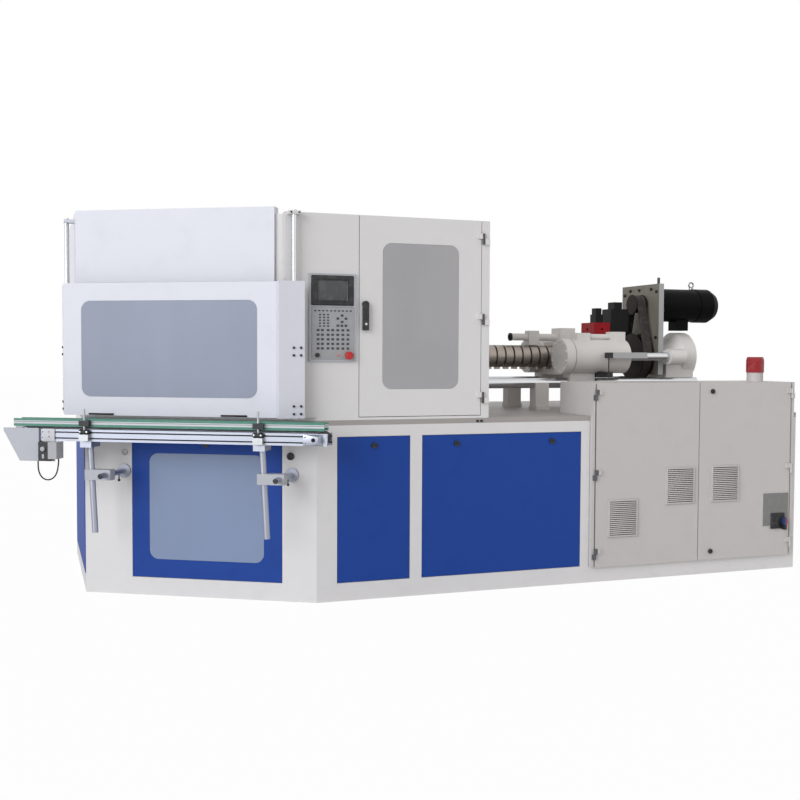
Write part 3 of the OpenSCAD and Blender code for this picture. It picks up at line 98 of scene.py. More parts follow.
def linear(colour):
    """Scene colour of a display colour."""
    return tuple(((c + 0.055) / 1.055) ** 2.4 if c > 0.04045 else c / 12.92 for c in colour)


def shade(colour, factor):
    """Colour made darker or lighter."""
    return tuple(c * factor for c in colour)


def plug(tree, socket, value):
    """Links a wire to a socket, or sets the socket's own value."""
    if isinstance(value, Wire):
        tree.links.new(value.socket, socket)
    elif isinstance(value, tuple) and socket.type == "RGBA":
        socket.default_value = (*value, 1)
    else:
        socket.default_value = value


class Wire:
    """A shader socket that takes part in Python sums."""

    def __init__(self, tree, socket):
        self.tree = tree
        self.socket = socket

    def maths(self, operation, first, second):
        node = self.tree.nodes.new("ShaderNodeMath")
        node.operation = operation
        plug(self.tree, node.inputs[0], first)
        plug(self.tree, node.inputs[1], second)
        return Wire(self.tree, node.outputs[0])

    def __add__(self, other):
        return self.maths("ADD", self, other)

    def __radd__(self, other):
        return self.maths("ADD", other, self)

    def __sub__(self, other):
        return self.maths("SUBTRACT", self, other)

    def __rsub__(self, other):
        return self.maths("SUBTRACT", other, self)

    def __mul__(self, other):
        return self.maths("MULTIPLY", self, other)

    def __gt__(self, edge):
        return self.maths("GREATER_THAN", self, edge)

    def __lt__(self, edge):
        return self.maths("LESS_THAN", self, edge)

    def within(self, low, high):
        """1 between two values, 0 outside."""
        return (self > low) * (self < high)


class Finish:
    """A material and the nodes that give it its surface."""

    def __init__(self, name):
        self.material = bpy.data.materials.new(name)
        self.material.use_nodes = True
        FINISHES[name] = self.material
        self.tree = self.material.node_tree
        self.shader = self.tree.nodes["Principled BSDF"]

    def node(self, kind, settings, sockets, output=0):
        """Adds a node, sets its settings, feeds its sockets and returns one output."""
        node = self.tree.nodes.new(kind)
        for key, value in settings.items():
            setattr(node, key, value)
        for key, value in sockets.items():
            plug(self.tree, node.inputs[key], value)
        return Wire(self.tree, node.outputs[output])

    def set(self, **values):
        """Sets or links the shader's sockets by name."""
        for key, value in values.items():
            plug(self.tree, self.shader.inputs[key.replace("_", " ")], value)

    def place(self, turn=0.0, stretch=(1, 1, 1)):
        """Object coordinates, turned about the upright axis and stretched."""
        here = self.node("ShaderNodeTexCoord", {}, {}, "Object")
        return self.node(
            "ShaderNodeMapping", {}, {"Vector": here, "Rotation": (0, 0, -turn), "Scale": stretch}
        )

    def axis(self, name, turn=0.0):
        """One object coordinate."""
        return self.node("ShaderNodeSeparateXYZ", {}, {"Vector": self.place(turn)}, name)

    def noise(self, scale, detail=3, turn=0.0, stretch=(1, 1, 1)):
        """Cloudy value about one half."""
        sockets = {"Vector": self.place(turn, stretch), "Scale": scale, "Detail": detail}
        return self.node("ShaderNodeTexNoise", {}, sockets, "Fac")

    def ease(self, value, low, high):
        """0 at the first value, 1 at the second, smooth between."""
        sockets = {"Value": value, "From Min": low, "From Max": high}
        return self.node("ShaderNodeMapRange", {"interpolation_type": "SMOOTHSTEP"}, sockets)

    def mix(self, share, first, second):
        """Colour between two colours."""
        sockets = {0: share, 6: first, 7: second}
        return self.node("ShaderNodeMix", {"data_type": "RGBA"}, sockets, 2)

    def recolour(self, share, colour):
        """Lays a plain colour over the base colour where the share is 1."""
        links = self.shader.inputs["Base Color"].links
        under = Wire(self.tree, links[0].from_socket)
        self.set(Base_Color=self.mix(share, under, colour))

    def bump(self, height, depth, strength=1.0):
        """Feeds a height to the shader's normal."""
        sockets = {"Height": height, "Distance": depth, "Strength": strength}
        self.set(Normal=self.node("ShaderNodeBump", {}, sockets))


def painted(name, colour, rough, grain, grain_depth, drift=0.05, dust=0.08, gloss=0.5):
    """Paint on sheet or casting: slow tone drift, orange peel, faint dust towards the floor."""
    finish = Finish(name)
    cloud = finish.noise(1.3, 5)
    smear = finish.noise(9, 6)
    floor_dust = 1 - finish.ease(finish.axis("Z"), 0.0, 0.5)
    worn = finish.ease(smear, 0.5, 0.8) * drift + floor_dust * smear * dust + cloud * drift
    finish.set(Base_Color=finish.mix(worn, colour, shade(colour, 0.35)))
    finish.set(Roughness=rough + smear * 0.12 - 0.06, Specular_IOR_Level=gloss)
    finish.bump(finish.noise(grain, 2), grain_depth)
    return finish


def bare_metal(name, colour, rough, stretch, turn=0.0, stain=0.12):
    """Turned, ground or drawn metal with fine lines across the stretched axis."""
    finish = Finish(name)
    lines = finish.noise(260, 3, turn, stretch)
    blotch = finish.noise(5, 5)
    finish.set(Base_Color=finish.mix(blotch * stain + lines * 0.1, colour, shade(colour, 0.35)))
    finish.set(Metallic=1.0)
    finish.set(Roughness=rough + lines * 0.14 + blotch * 0.08 - 0.1)
    finish.bump(lines, 0.00004)
    return finish


def moulded(name, colour, rough, grain=1400):
    """Moulded plastic or rubber with a fine grain and rubbed, slightly paler patches."""
    finish = Finish(name)
    rub = finish.ease(finish.noise(30, 5), 0.45, 0.75)
    pale = tuple(c + 0.035 * (1 - c) for c in colour)
    finish.set(Base_Color=finish.mix(rub, colour, pale))
    finish.set(Roughness=rough - rub * 0.08)
    finish.bump(finish.noise(grain, 2), 0.00006)
    return finish


class MachineColours(bpy.types.PropertyGroup):
    """Colours of the machine's finishes, as they look on a display."""

    white: bpy.props.FloatVectorProperty(
        name="White sheet", description="Powder coat of base and hood",
        subtype="COLOR_GAMMA", min=0, max=1, default=(0.885, 0.874, 0.87))
    # The gate colour is the white sheet made cooler: painted cool light on the gate and upper box, which
    # face the cool key light.
    gate: bpy.props.FloatVectorProperty(
        name="Gate sheet", description="White powder coat of gate and upper box, tinted cooler as painted cool light",
        subtype="COLOR_GAMMA", min=0, max=1, default=(0.88, 0.882, 0.915))
    blue: bpy.props.FloatVectorProperty(
        name="Blue panels", description="Powder coat of the lift-off panels",
        subtype="COLOR_GAMMA", min=0, max=1, default=(0.11, 0.27, 0.60))
    cabinet: bpy.props.FloatVectorProperty(
        name="Cabinet", description="Textured coat of the control cabinet",
        subtype="COLOR_GAMMA", min=0, max=1, default=(0.79, 0.77, 0.76))
    table: bpy.props.FloatVectorProperty(
        name="Table", description="Paint of the table plate",
        subtype="COLOR_GAMMA", min=0, max=1, default=(0.66, 0.635, 0.62))
    casting: bpy.props.FloatVectorProperty(
        name="Castings", description="Paint of the injection unit",
        subtype="COLOR_GAMMA", min=0, max=1, default=(0.90, 0.885, 0.87))
    pane: bpy.props.FloatVectorProperty(
        name="Window sheet", description="Frosted sheet of the windows",
        subtype="COLOR_GAMMA", min=0, max=1, default=(0.60, 0.63, 0.71))
    rail: bpy.props.FloatVectorProperty(
        name="Guide rail", description="Plastic strips of the conveyor's guide rails",
        subtype="COLOR_GAMMA", min=0, max=1, default=(0.28, 0.52, 0.45))


class MachineStage(bpy.types.PropertyGroup):
    """Camera and light."""

    camera_place: bpy.props.FloatVectorProperty(
        name="Camera", description="Place of the camera",
        subtype="TRANSLATION", unit="LENGTH", default=(-1.1258, -6.7953, 1.4205))
    camera_yaw: bpy.props.FloatProperty(
        name="Yaw", description="Heading of the camera from the X axis",
        subtype="ANGLE", default=math.radians(70.748))
    camera_pitch: bpy.props.FloatProperty(
        name="Pitch", description="Tilt of the camera above the horizon",
        subtype="ANGLE", default=math.radians(-2.487))
    camera_roll: bpy.props.FloatProperty(
        name="Roll", description="Turn of the camera about its view line",
        subtype="ANGLE", default=math.radians(0.242))
    lens: bpy.props.FloatProperty(
        name="Lens", description="Focal length on a 36 mm frame in millimetres", default=47.58)
    key: bpy.props.FloatProperty(
        name="Key light", description="Strength of the main light", default=1.7)
    fill: bpy.props.FloatProperty(
        name="Fill light", description="Strength of the light from the right", default=0.25)
    ambient: bpy.props.FloatProperty(
        name="Ambient", description="Strength of the light from all round", default=0.46)


def colours():
    """The finish colours as scene colours."""
    group = bpy.context.scene.machine_colours
    return {key: linear(getattr(group, key)) for key in group.__annotations__}


class MACHINE_OT_finishes(bpy.types.Operator):
    """Makes the finishes and gives each CAD node its own"""

    bl_idname = "machine.finishes"
    bl_label = "Finishes"

    def execute(self, context):
        tone = colours()
        self.sheet(tone["white"])
        self.cabinet(tone["cabinet"])
        # Painted cool light: the gate and upper box wear a bluer copy of the white sheet.
        painted("gate_white_cool_lit", tone["gate"], 0.4, 420, 0.0001)
        painted("blue_panel", tone["blue"], 0.48, 420, 0.0001, drift=0.12, gloss=0.22)
        painted("table_grey", tone["table"], 0.45, 300, 0.0001, drift=0.15)
        painted("cast_white", tone["casting"], 0.42, 160, 0.0004, drift=0.1)
        painted("tank_paint", (0.10, 0.13, 0.16), 0.45, 300, 0.0002)
        painted("motor_black", (0.003, 0.003, 0.003), 0.45, 240, 0.0003, gloss=0.06)
        painted("guard_lavender", (0.50, 0.51, 0.56), 0.45, 300, 0.0001)
        bare_metal("chrome_rod", (0.62, 0.63, 0.65), 0.22, (1, 1, 0.02), stain=0.05)
        bare_metal("machined_steel", (0.36, 0.365, 0.37), 0.36, (1, 1, 0.1))
        bare_metal("profile_aluminium", (0.46, 0.48, 0.55), 0.42, (1, 0.01, 1), EJECT_TURN, 0.1)
        bare_metal("brass_rod", (0.60, 0.44, 0.20), 0.25, (1, 1, 0.1))
        bare_metal("band_steel", (0.42, 0.37, 0.33), 0.42, (0.1, 1, 1), stain=0.4)
        bare_metal("dark_pulley", (0.035, 0.028, 0.026), 0.5, (1, 1, 1), stain=0.4)
        moulded("black_plastic", (0.012, 0.012, 0.014), 0.42)
        moulded("unit_grey", (0.46, 0.47, 0.50), 0.45)
        moulded("red_plastic", (0.52, 0.012, 0.014), 0.28)
        moulded("belt_rubber", (0.026, 0.020, 0.018), 0.7, 500)
        moulded("key_film", (0.36, 0.36, 0.37), 0.45)
        moulded("key_dark", (0.05, 0.052, 0.06), 0.45)
        moulded("pale_key", (0.50, 0.26, 0.24), 0.4)
        moulded("screen_glass", (0.05, 0.054, 0.058), 0.16)
        # Painted shade: a near-black sheet behind the louvre slats stands for the shade between them.
        moulded("grille_painted_shade", (0.07, 0.066, 0.063), 0.8)
        moulded("plate_grey", (0.21, 0.205, 0.20), 0.4)
        self.pane(tone["pane"])
        self.rail(tone["rail"])
        self.beam()
        self.valves()
        self.gearmotor()
        self.transducer()
        self.motor_plate()
        self.switch()
        self.beacon()
        for part in frame["record"]["subparts"]:
            wear(frame["nodes"][part["node"]], OWN_FINISH.get(part["node"], part["material_slot"]))
        return {"FINISHED"}

    def sheet(self, colour):
        """Powder coat, with dark steel hinges in front of the hood."""
        finish = painted("white_sheet", colour, 0.4, 420, 0.0001)
        hinge_left, hinge_right, lowest = 1.4095, 1.4265, 1.08
        across = finish.axis("X").within(hinge_left, hinge_right)
        hinge = across * (finish.axis("Y") < HOOD_FRONT - PROUD) * (finish.axis("Z") > lowest)
        finish.recolour(hinge, (0.06, 0.055, 0.05))

    def cabinet(self, colour):
        """Textured coat, with dark hinges at the left edge."""
        finish = painted("cabinet_grey", colour, 0.5, 700, 0.0002)
        hinge_left, hinge_right = 2.150, 2.190
        across = finish.axis("X").within(hinge_left, hinge_right)
        hinge = across * (finish.axis("Y") < CABINET_FRONT - PROUD)
        finish.recolour(hinge, (0.10, 0.10, 0.11))

    def pane(self, colour):
        """Frosted sheet with faint vertical streaks, bluer in the base and greyer in the hood door."""
        finish = Finish("frosted_pane")
        base_top, door_foot, door_back = 1.0, 1.1, -0.985
        base_tone = linear((0.52, 0.59, 0.725))
        door_tone = linear((0.715, 0.70, 0.695))
        low = finish.axis("Z") < base_top
        door = (finish.axis("Y") < door_back) * (finish.axis("Z") > door_foot)
        colour = finish.mix(low, colour, base_tone)
        colour = finish.mix(door, colour, door_tone)
        cloud = finish.noise(2.2, 3)
        streak = finish.noise(7, 4, stretch=(1, 1, 0.15))
        finish.set(Base_Color=finish.mix(cloud * 0.3 + streak * 0.2, colour, (0.20, 0.22, 0.27)))
        finish.set(Roughness=0.34 + streak * 0.1, Specular_IOR_Level=0.4)
        finish.bump(finish.noise(900, 2), 0.00005)

    def rail(self, colour):
        """Plastic strips above and below a drawn bar with one slot, painted dark as painted shade inside
        it, with holding rods and clamps.
        """
        finish = moulded("green_rail", colour, 0.35)
        out = finish.axis("X", EJECT_TURN)
        up = finish.axis("Z")
        line = finish.noise(300, 2, EJECT_TURN, (1, 0.01, 1))
        bar = up.within(1.0165, 1.0345)
        slot = up.within(1.0270, 1.0295)
        holder = out > 0.9345
        clamp = up.within(1.0072, 1.0408)
        finish.recolour(bar, (0.60, 0.62, 0.64))
        # Painted shade: the slot along the bar is darkened to stand for the shade inside it.
        finish.recolour(slot, (0.10, 0.10, 0.11))
        finish.recolour(holder, (0.50, 0.51, 0.52))
        finish.recolour(holder * clamp, (0.012, 0.012, 0.013))
        finish.set(Metallic=holder * (1 - clamp) * 0.9)
        finish.set(Roughness=0.32 + line * 0.1)

    def beam(self):
        """Drawn aluminium with two slots along each side, painted dark as painted shade inside them."""
        finish = bare_metal("slotted_beam", (0.46, 0.48, 0.55), 0.42, (1, 0.01, 1), EJECT_TURN, 0.1)
        slot_floor = 0.0545
        up = finish.axis("Z")
        slot = up.within(0.9338, 0.9417) + up.within(0.9673, 0.9752)
        off = finish.axis("X", EJECT_TURN) - CONVEYOR_LINE
        inside = off * off < slot_floor * slot_floor
        # Painted shade: the slots are darkened to stand for the shade inside them.
        finish.recolour(slot * inside, (0.03, 0.03, 0.035))

    def valves(self):
        """Red manifold on a white carrier, with black valves."""
        finish = painted("red_paint", (0.34, 0.009, 0.016), 0.4, 300, 0.0001, drift=0.2, gloss=0.15)
        block_foot, block_top, block_end = 1.5632, 1.6532, 2.8222
        up = finish.axis("Z")
        valve = (up > block_top) + (finish.axis("X") > block_end) > 0.5
        finish.recolour(up < block_foot, (0.74, 0.72, 0.70))
        finish.recolour(valve, (0.006, 0.006, 0.006))

    def gearmotor(self):
        """White side plate, black speed controller and grey gearbox."""
        finish = painted("drive_box", (0.012, 0.012, 0.014), 0.4, 500, 0.0001)
        controller_right, side_plate_front = -0.6168, 0.9482
        gearbox = finish.axis("Y", EJECT_TURN) > controller_right
        side_plate = finish.axis("X", EJECT_TURN) < side_plate_front
        finish.recolour(gearbox, (0.42, 0.42, 0.44))
        finish.recolour(side_plate, (0.66, 0.65, 0.68))

    def transducer(self):
        """Grey drawn bar with a black connector and lead."""
        finish = painted("sensor_bar", (0.46, 0.46, 0.46), 0.4, 300, 0.0001)
        bar_start = 2.6398
        finish.recolour(finish.axis("X") < bar_start, (0.012, 0.012, 0.013))

    def motor_plate(self):
        """Khaki primer on the plate's faces, with a lighter grey near edge."""
        finish = painted("plate_primer", (0.20, 0.185, 0.15), 0.5, 300, 0.0001, drift=0.15, gloss=0.3)
        edge_depth = 0.0005
        near_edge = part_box("motor_plate")[0].y + edge_depth
        finish.recolour(finish.axis("Y") < near_edge, (0.42, 0.42, 0.42))

    def switch(self):
        """Black grip with a blue and a red flank."""
        finish = moulded("switch_grip", (0.012, 0.012, 0.014), 0.35)
        cap_back, cap_foot, cap_middle = -1.0500, 0.303, 3.583
        cap = (finish.axis("Y") < cap_back) * (finish.axis("Z") > cap_foot)
        side = finish.axis("X") > cap_middle
        finish.recolour(cap * (1 - side), (0.03, 0.06, 0.22))
        finish.recolour(cap * side, (0.50, 0.02, 0.02))

    def beacon(self):
        """Red lens with level ribs."""
        finish = moulded("beacon_lens", (0.36, 0.008, 0.012), 0.24)
        radians_per_metre = 900
        wave = finish.axis("Z") * radians_per_metre
        rib = finish.node("ShaderNodeMath", {"operation": "SINE"}, {0: wave})
        finish.bump(rib, 0.002, 0.6)


OWN_FINISH = {
    # Painted cool light: the gate and upper box take the cooler copy of the white sheet.
    "gate_panel": "gate_white_cool_lit",
    "upper_box": "gate_white_cool_lit",
    "drive_cover": "guard_lavender",
    "conveyor_beam": "slotted_beam",
    "gearmotor": "drive_box",
    "transducer": "sensor_bar",
    "motor_plate": "plate_primer",
    "isolator": "switch_grip",
    "beacon_dome": "beacon_lens",
}


def wear(piece, name):
    """Gives a piece one finish."""
    piece.data.materials.clear()
    piece.data.materials.append(FINISHES[name])


class MACHINE_OT_drive_cable(bpy.types.Operator):
    """Lays the short lead between the drive guard and the gearbox"""

    bl_idname = "machine.drive_cable"
    bl_label = "Drive cable"

    diameter: bpy.props.FloatProperty(
        name="Diameter", description="Diameter of the lead", unit="LENGTH", default=0.008)

    def execute(self, context):
        out = 0.950
        route = [
            (-0.712, 0.805), (-0.712, 0.785), (-0.711, 0.765), (-0.706, 0.742), (-0.696, 0.722),
            (-0.680, 0.707), (-0.660, 0.700), (-0.638, 0.702), (-0.618, 0.713), (-0.603, 0.731),
            (-0.594, 0.753), (-0.589, 0.778), (-0.586, 0.802), (-0.586, 0.825)]
        points = [at_eject(out, along, up) for along, up in route]
        lead = bend_tube("drive_lead", points, self.diameter)
        wear(lead, "belt_rubber")
        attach(lead, "conveyor")
        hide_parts("drive_cable")
        length = sum((b - a).length for a, b in zip(points, points[1:]))
        return {"FINISHED"}


def bend_tube(name, points, diameter):
    """Round tube as one smooth open curve through points."""
    curve = bpy.data.curves.new(name, "CURVE")
    curve.dimensions = "3D"
    curve.bevel_depth = diameter / 2
    curve.bevel_resolution = 4
    curve.resolution_u = 6
    spline = curve.splines.new("BEZIER")
    spline.bezier_points.add(len(points) - 1)
    for knot, point in zip(spline.bezier_points, points):
        knot.co = point
        knot.handle_left_type = "AUTO"
        knot.handle_right_type = "AUTO"
    piece = bpy.data.objects.new(name, curve)
    bpy.context.scene.collection.objects.link(piece)
    return piece


def fresh():
    """Leaves edit mode with nothing selected."""
    if bpy.context.mode != "OBJECT":
        bpy.ops.object.mode_set(mode="OBJECT")
    bpy.ops.object.select_all(action="DESELECT")


def pick(piece, kind, test):
    """Selects in edit mode the faces or edges that pass a test of item and middle."""
    bpy.ops.object.mode_set(mode="EDIT")
    bpy.ops.mesh.select_mode(type=kind)
    bpy.ops.mesh.select_all(action="DESELECT")
    mesh = bmesh.from_edit_mesh(piece.data)
    for item in mesh.faces if kind == "FACE" else mesh.edges:
        middle = sum((corner.co for corner in item.verts), Vector()) / len(item.verts)
        item.select_set(test(item, middle))
    mesh.select_flush(True)
    bmesh.update_edit_mesh(piece.data)


def round_edges(piece, test, width, steps):
    """Rounds the edges whose middle passes a test."""
    pick(piece, "EDGE", test)
    bpy.ops.mesh.bevel(offset=width, segments=steps, affect="EDGES")
    bpy.ops.object.mode_set(mode="OBJECT")


def upright(edge, middle):
    """Tells whether an edge runs along the pattern's own Z."""
    run = edge.verts[0].co - edge.verts[1].co
    return abs(run.z) > 0.9 * run.length


def plate(size, rim, corner=0.0, steps=2):
    """Plate on its back at the origin, with rounded corners and a rounded front rim."""
    fresh()
    bpy.ops.mesh.primitive_cube_add(size=1, location=(0, 0, size[2] / 2), scale=size)
    bpy.ops.object.transform_apply(location=True, rotation=True, scale=True)
    piece = bpy.context.object
    if corner:
        round_edges(piece, upright, corner, 5)
    round_edges(piece, lambda edge, middle: middle.z > 0.999 * size[2], rim, steps)
    return piece


def disc(diameter, height, rim, sides=24, steps=2):
    """Round head on its back at the origin, with a rounded front rim."""
    fresh()
    bpy.ops.mesh.primitive_cylinder_add(
        vertices=sides, radius=diameter / 2, depth=height, location=(0, 0, height / 2))
    bpy.ops.object.transform_apply(location=True, rotation=True, scale=True)
    piece = bpy.context.object
    round_edges(piece, lambda edge, middle: middle.z > 0.999 * height, rim, steps)
    return piece


def sink(piece, margin, depth, squeeze=(1, 1, 1)):
    """Sinks the front face inside a margin."""
    top = max(corner.co.z for corner in piece.data.vertices)
    pick(piece, "FACE", lambda face, middle: face.normal.z > 0.9 and middle.z > top - 1e-6)
    bpy.ops.mesh.inset(thickness=margin)
    bpy.ops.transform.resize(value=squeeze, center_override=(0, 0, top))
    bpy.ops.mesh.extrude_region_move(TRANSFORM_OT_translate={"value": (0, 0, -depth)})
    bpy.ops.object.mode_set(mode="OBJECT")
    return piece


def socket_screw(diameter, height):
    """Cap screw with a six-sided socket."""
    return sink(disc(diameter, height, diameter * 0.06, 18), diameter * 0.22, height * 0.6)


def fit(pattern, name, spots, finish, body):
    """Copies a pattern to each spot, joins the copies and lets them ride on a body."""
    copies = []
    for spot in spots:
        copy = bpy.data.objects.new(name, pattern.data.copy())
        copy.data.transform(spot)
        bpy.context.scene.collection.objects.link(copy)
        copies.append(copy)
    fresh()
    for copy in copies:
        copy.select_set(True)
    bpy.context.view_layer.objects.active = copies[0]
    bpy.ops.object.join()
    bpy.ops.object.shade_smooth_by_angle(angle=SMOOTH_ANGLE)
    copies[0].name = name
    bpy.data.objects.remove(pattern)
    wear(copies[0], finish)
    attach(copies[0], body)
    return copies[0]


def front_spots(y, places):
    """Spots on an upright face that looks to the front, from places across and up."""
    return [facing(Vector((x, y, z)), FRONT) for x, z in places]


def eject_spots(out, places, side=1):
    """Spots on a face along the slanted side, from places along and up."""
    return [facing(at_eject(out, along, z), EJECT_OUT * side) for along, z in places]


class MACHINE_OT_control_face(bpy.types.Operator):
    """Makes the bezel, screen, keypad and switches of the control unit"""

    bl_idname = "machine.control_face"
    bl_label = "Control face"

    face: bpy.props.FloatProperty(
        name="Face", description="Front of the unit", unit="LENGTH", default=-1.014)

    def execute(self, context):
        film_floor = self.face - 0.0005
        window = front_spots(self.face, [(0.487, 1.7775)])
        keypad = front_spots(self.face, [(0.4895, 1.5375)])
        lock = front_spots(film_floor, [(0.398, 1.413)])
        start = front_spots(film_floor, [(0.518, 1.413)])
        bezel = sink(plate((0.248, 0.169, 0.006), 0.003, 0.006), 0.018, 0.005, (0.9, 1, 1))
        fit(bezel, "screen_bezel", window, "black_plastic", "machine")
        screen = plate((0.180, 0.128, 0.0022), 0.001, 0.010)
        fit(screen, "screen", window, "screen_glass", "machine")
        film = sink(plate((0.247, 0.295, 0.0009), 0.0003, 0.004), 0.004, 0.0003)
        fit(film, "keypad_film", keypad, "key_film", "machine")
        self.keys(film_floor)
        collar = sink(disc(0.026, 0.010, 0.002), 0.005, 0.003)
        fit(collar, "key_switch", lock, "black_plastic", "machine")
        button = plate((0.020, 0.013, 0.004), 0.0012, 0.002)
        fit(button, "start_key", start, "pale_key", "machine")
        return {"FINISHED"}

    def keys(self, face):
        """Soft keys, arrows and the field of square keys."""
        soft = [(0.387 + 0.023 * i, 1.663) for i in range(10)]
        left = [(0.414 + 0.0235 * i, 1.641 - 0.016 * j) for i in range(3) for j in range(5)]
        arrows = [(0.543, 1.637), (0.518, 1.620), (0.566, 1.620), (0.543, 1.601)]
        row = [(0.518, 1.580), (0.542, 1.580), (0.566, 1.580)]
        columns = (0.403, 0.428, 0.461, 0.488, 0.518, 0.548, 0.578)
        field = [(x, 1.554 - 0.0258 * j) for x in columns for j in range(5)]
        small_spots = front_spots(face, soft + left)
        large_spots = front_spots(face, arrows + row + field)
        small = sink(plate((0.012, 0.008, 0.0018), 0.0005, 0.0015), 0.0012, 0.0003)
        fit(small, "soft_keys", small_spots, "key_dark", "machine")
        large = sink(plate((0.016, 0.0125, 0.002), 0.0006, 0.002), 0.0016, 0.0003)
        fit(large, "number_keys", large_spots, "key_dark", "machine")


class MACHINE_OT_hood_fittings(bpy.types.Operator):
    """Makes the screws, pulls and lock key of hood and gate"""

    bl_idname = "machine.hood_fittings"
    bl_label = "Hood fittings"

    def execute(self, context):
        gate_front = -1.070
        rod_bracket_front = -1.055
        heights = [1.453, 1.411, 1.128, 1.085]
        spots = front_spots(gate_front, [(x, z) for x in (0.250, 0.291) for z in heights])
        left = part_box("gate_panel")[0].x
        spots += [facing(Vector((left, y, z)), LEFT) for y in (-0.17, -0.13) for z in heights]
        fit(socket_screw(0.014, 0.006), "gate_screws", spots, "black_plastic", "gate")
        pull = sink(plate((0.155, 0.010, 0.008), 0.002, 0.003), 0.002, 0.002)
        pulls = eject_spots(GATE_FACE, [(-0.4095, 1.068), (0.394, 1.068)])
        fit(pull, "gate_pulls", pulls, "dark_pulley", "gate")
        post = front_spots(HOOD_FRONT, [(1.388, 1.024), (1.414, 1.024)])
        fit(socket_screw(0.015, 0.007), "post_screws", post, "black_plastic", "machine")
        rods = front_spots(rod_bracket_front, [(x, z) for z in (2.202, 1.061) for x in (0.239, 0.285)])
        fit(socket_screw(0.010, 0.004), "rod_screws", rods, "black_plastic", "machine")
        low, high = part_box("hood_lock")
        middle = (low.x + high.x) / 2
        key = front_spots(low.y, [(middle, low.z + 0.035)])
        fit(sink(disc(0.015, 0.003, 0.0008), 0.004, 0.001), "lock_key", key, "chrome_rod", "hood_lock")
        return {"FINISHED"}


class MACHINE_OT_base_fittings(bpy.types.Operator):
    """Makes the plugs of the slanted face and the levers on the conveyor arms"""

    bl_idname = "machine.base_fittings"
    bl_label = "Base fittings"

    def execute(self, context):
        plug_cap = sink(disc(0.036, 0.008, 0.002), 0.007, 0.003)
        fit(plug_cap, "grey_plug", eject_spots(EJECT_FACE, [(-0.318, 0.839)]), "machined_steel", "machine")
        key_plug = sink(disc(0.044, 0.012, 0.003), 0.010, 0.006)
        fit(key_plug, "key_plug", eject_spots(EJECT_FACE, [(0.693, 0.836)]), "black_plastic", "machine")
        lever_out, lever_top, arm_end = 0.742, 0.7145, 0.9757
        arms = [facing(at_eject(lever_out, along, lever_top), -UP, EJECT_OUT) for along in ARM_PLACES]
        fit(self.lever(), "arm_levers", arms, "black_plastic", "machine")
        cap = sink(disc(0.030, 0.004, 0.001, 28), 0.004, 0.003)
        ends = eject_spots(arm_end, [(along, ARM_HEIGHT) for along in ARM_PLACES])
        fit(cap, "arm_caps", ends, "black_plastic", "machine")
        self.side_panel()
        return {"FINISHED"}

    def side_panel(self):
        """Blue lift-off panel of the left side with its two locks."""
        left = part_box("base_shell")[0].x
        near, far, low, high = -0.272, 0.900, 0.107, 0.944
        lock_inset, lock_drop = 0.25, 0.036
        sheet = sink(plate((far - near, high - low, 0.004), 0.0015, 0.004), 0.010, 0.0006)
        middle = Vector((left, (near + far) / 2, (low + high) / 2))
        fit(sheet, "side_panel", [facing(middle, LEFT)], "blue_panel", "machine")
        sides = (near + lock_inset, far - lock_inset)
        spots = [facing(Vector((left - 0.0034, y, high - lock_drop)), LEFT) for y in sides]
        lock = sink(disc(0.034, 0.009, 0.002), 0.008, 0.003)
        fit(lock, "side_locks", spots, "black_plastic", "machine")

    def lever(self):
        """Thin stem with a ball end."""
        stem = disc(0.007, 0.030, 0.001, 12)
        fresh()
        bpy.ops.mesh.primitive_uv_sphere_add(
            segments=16, ring_count=10, radius=0.008, location=(0, 0, 0.032))
        bpy.ops.object.transform_apply(location=True, rotation=True, scale=True)
        stem.select_set(True)
        bpy.context.view_layer.objects.active = stem
        bpy.ops.object.join()
        return stem


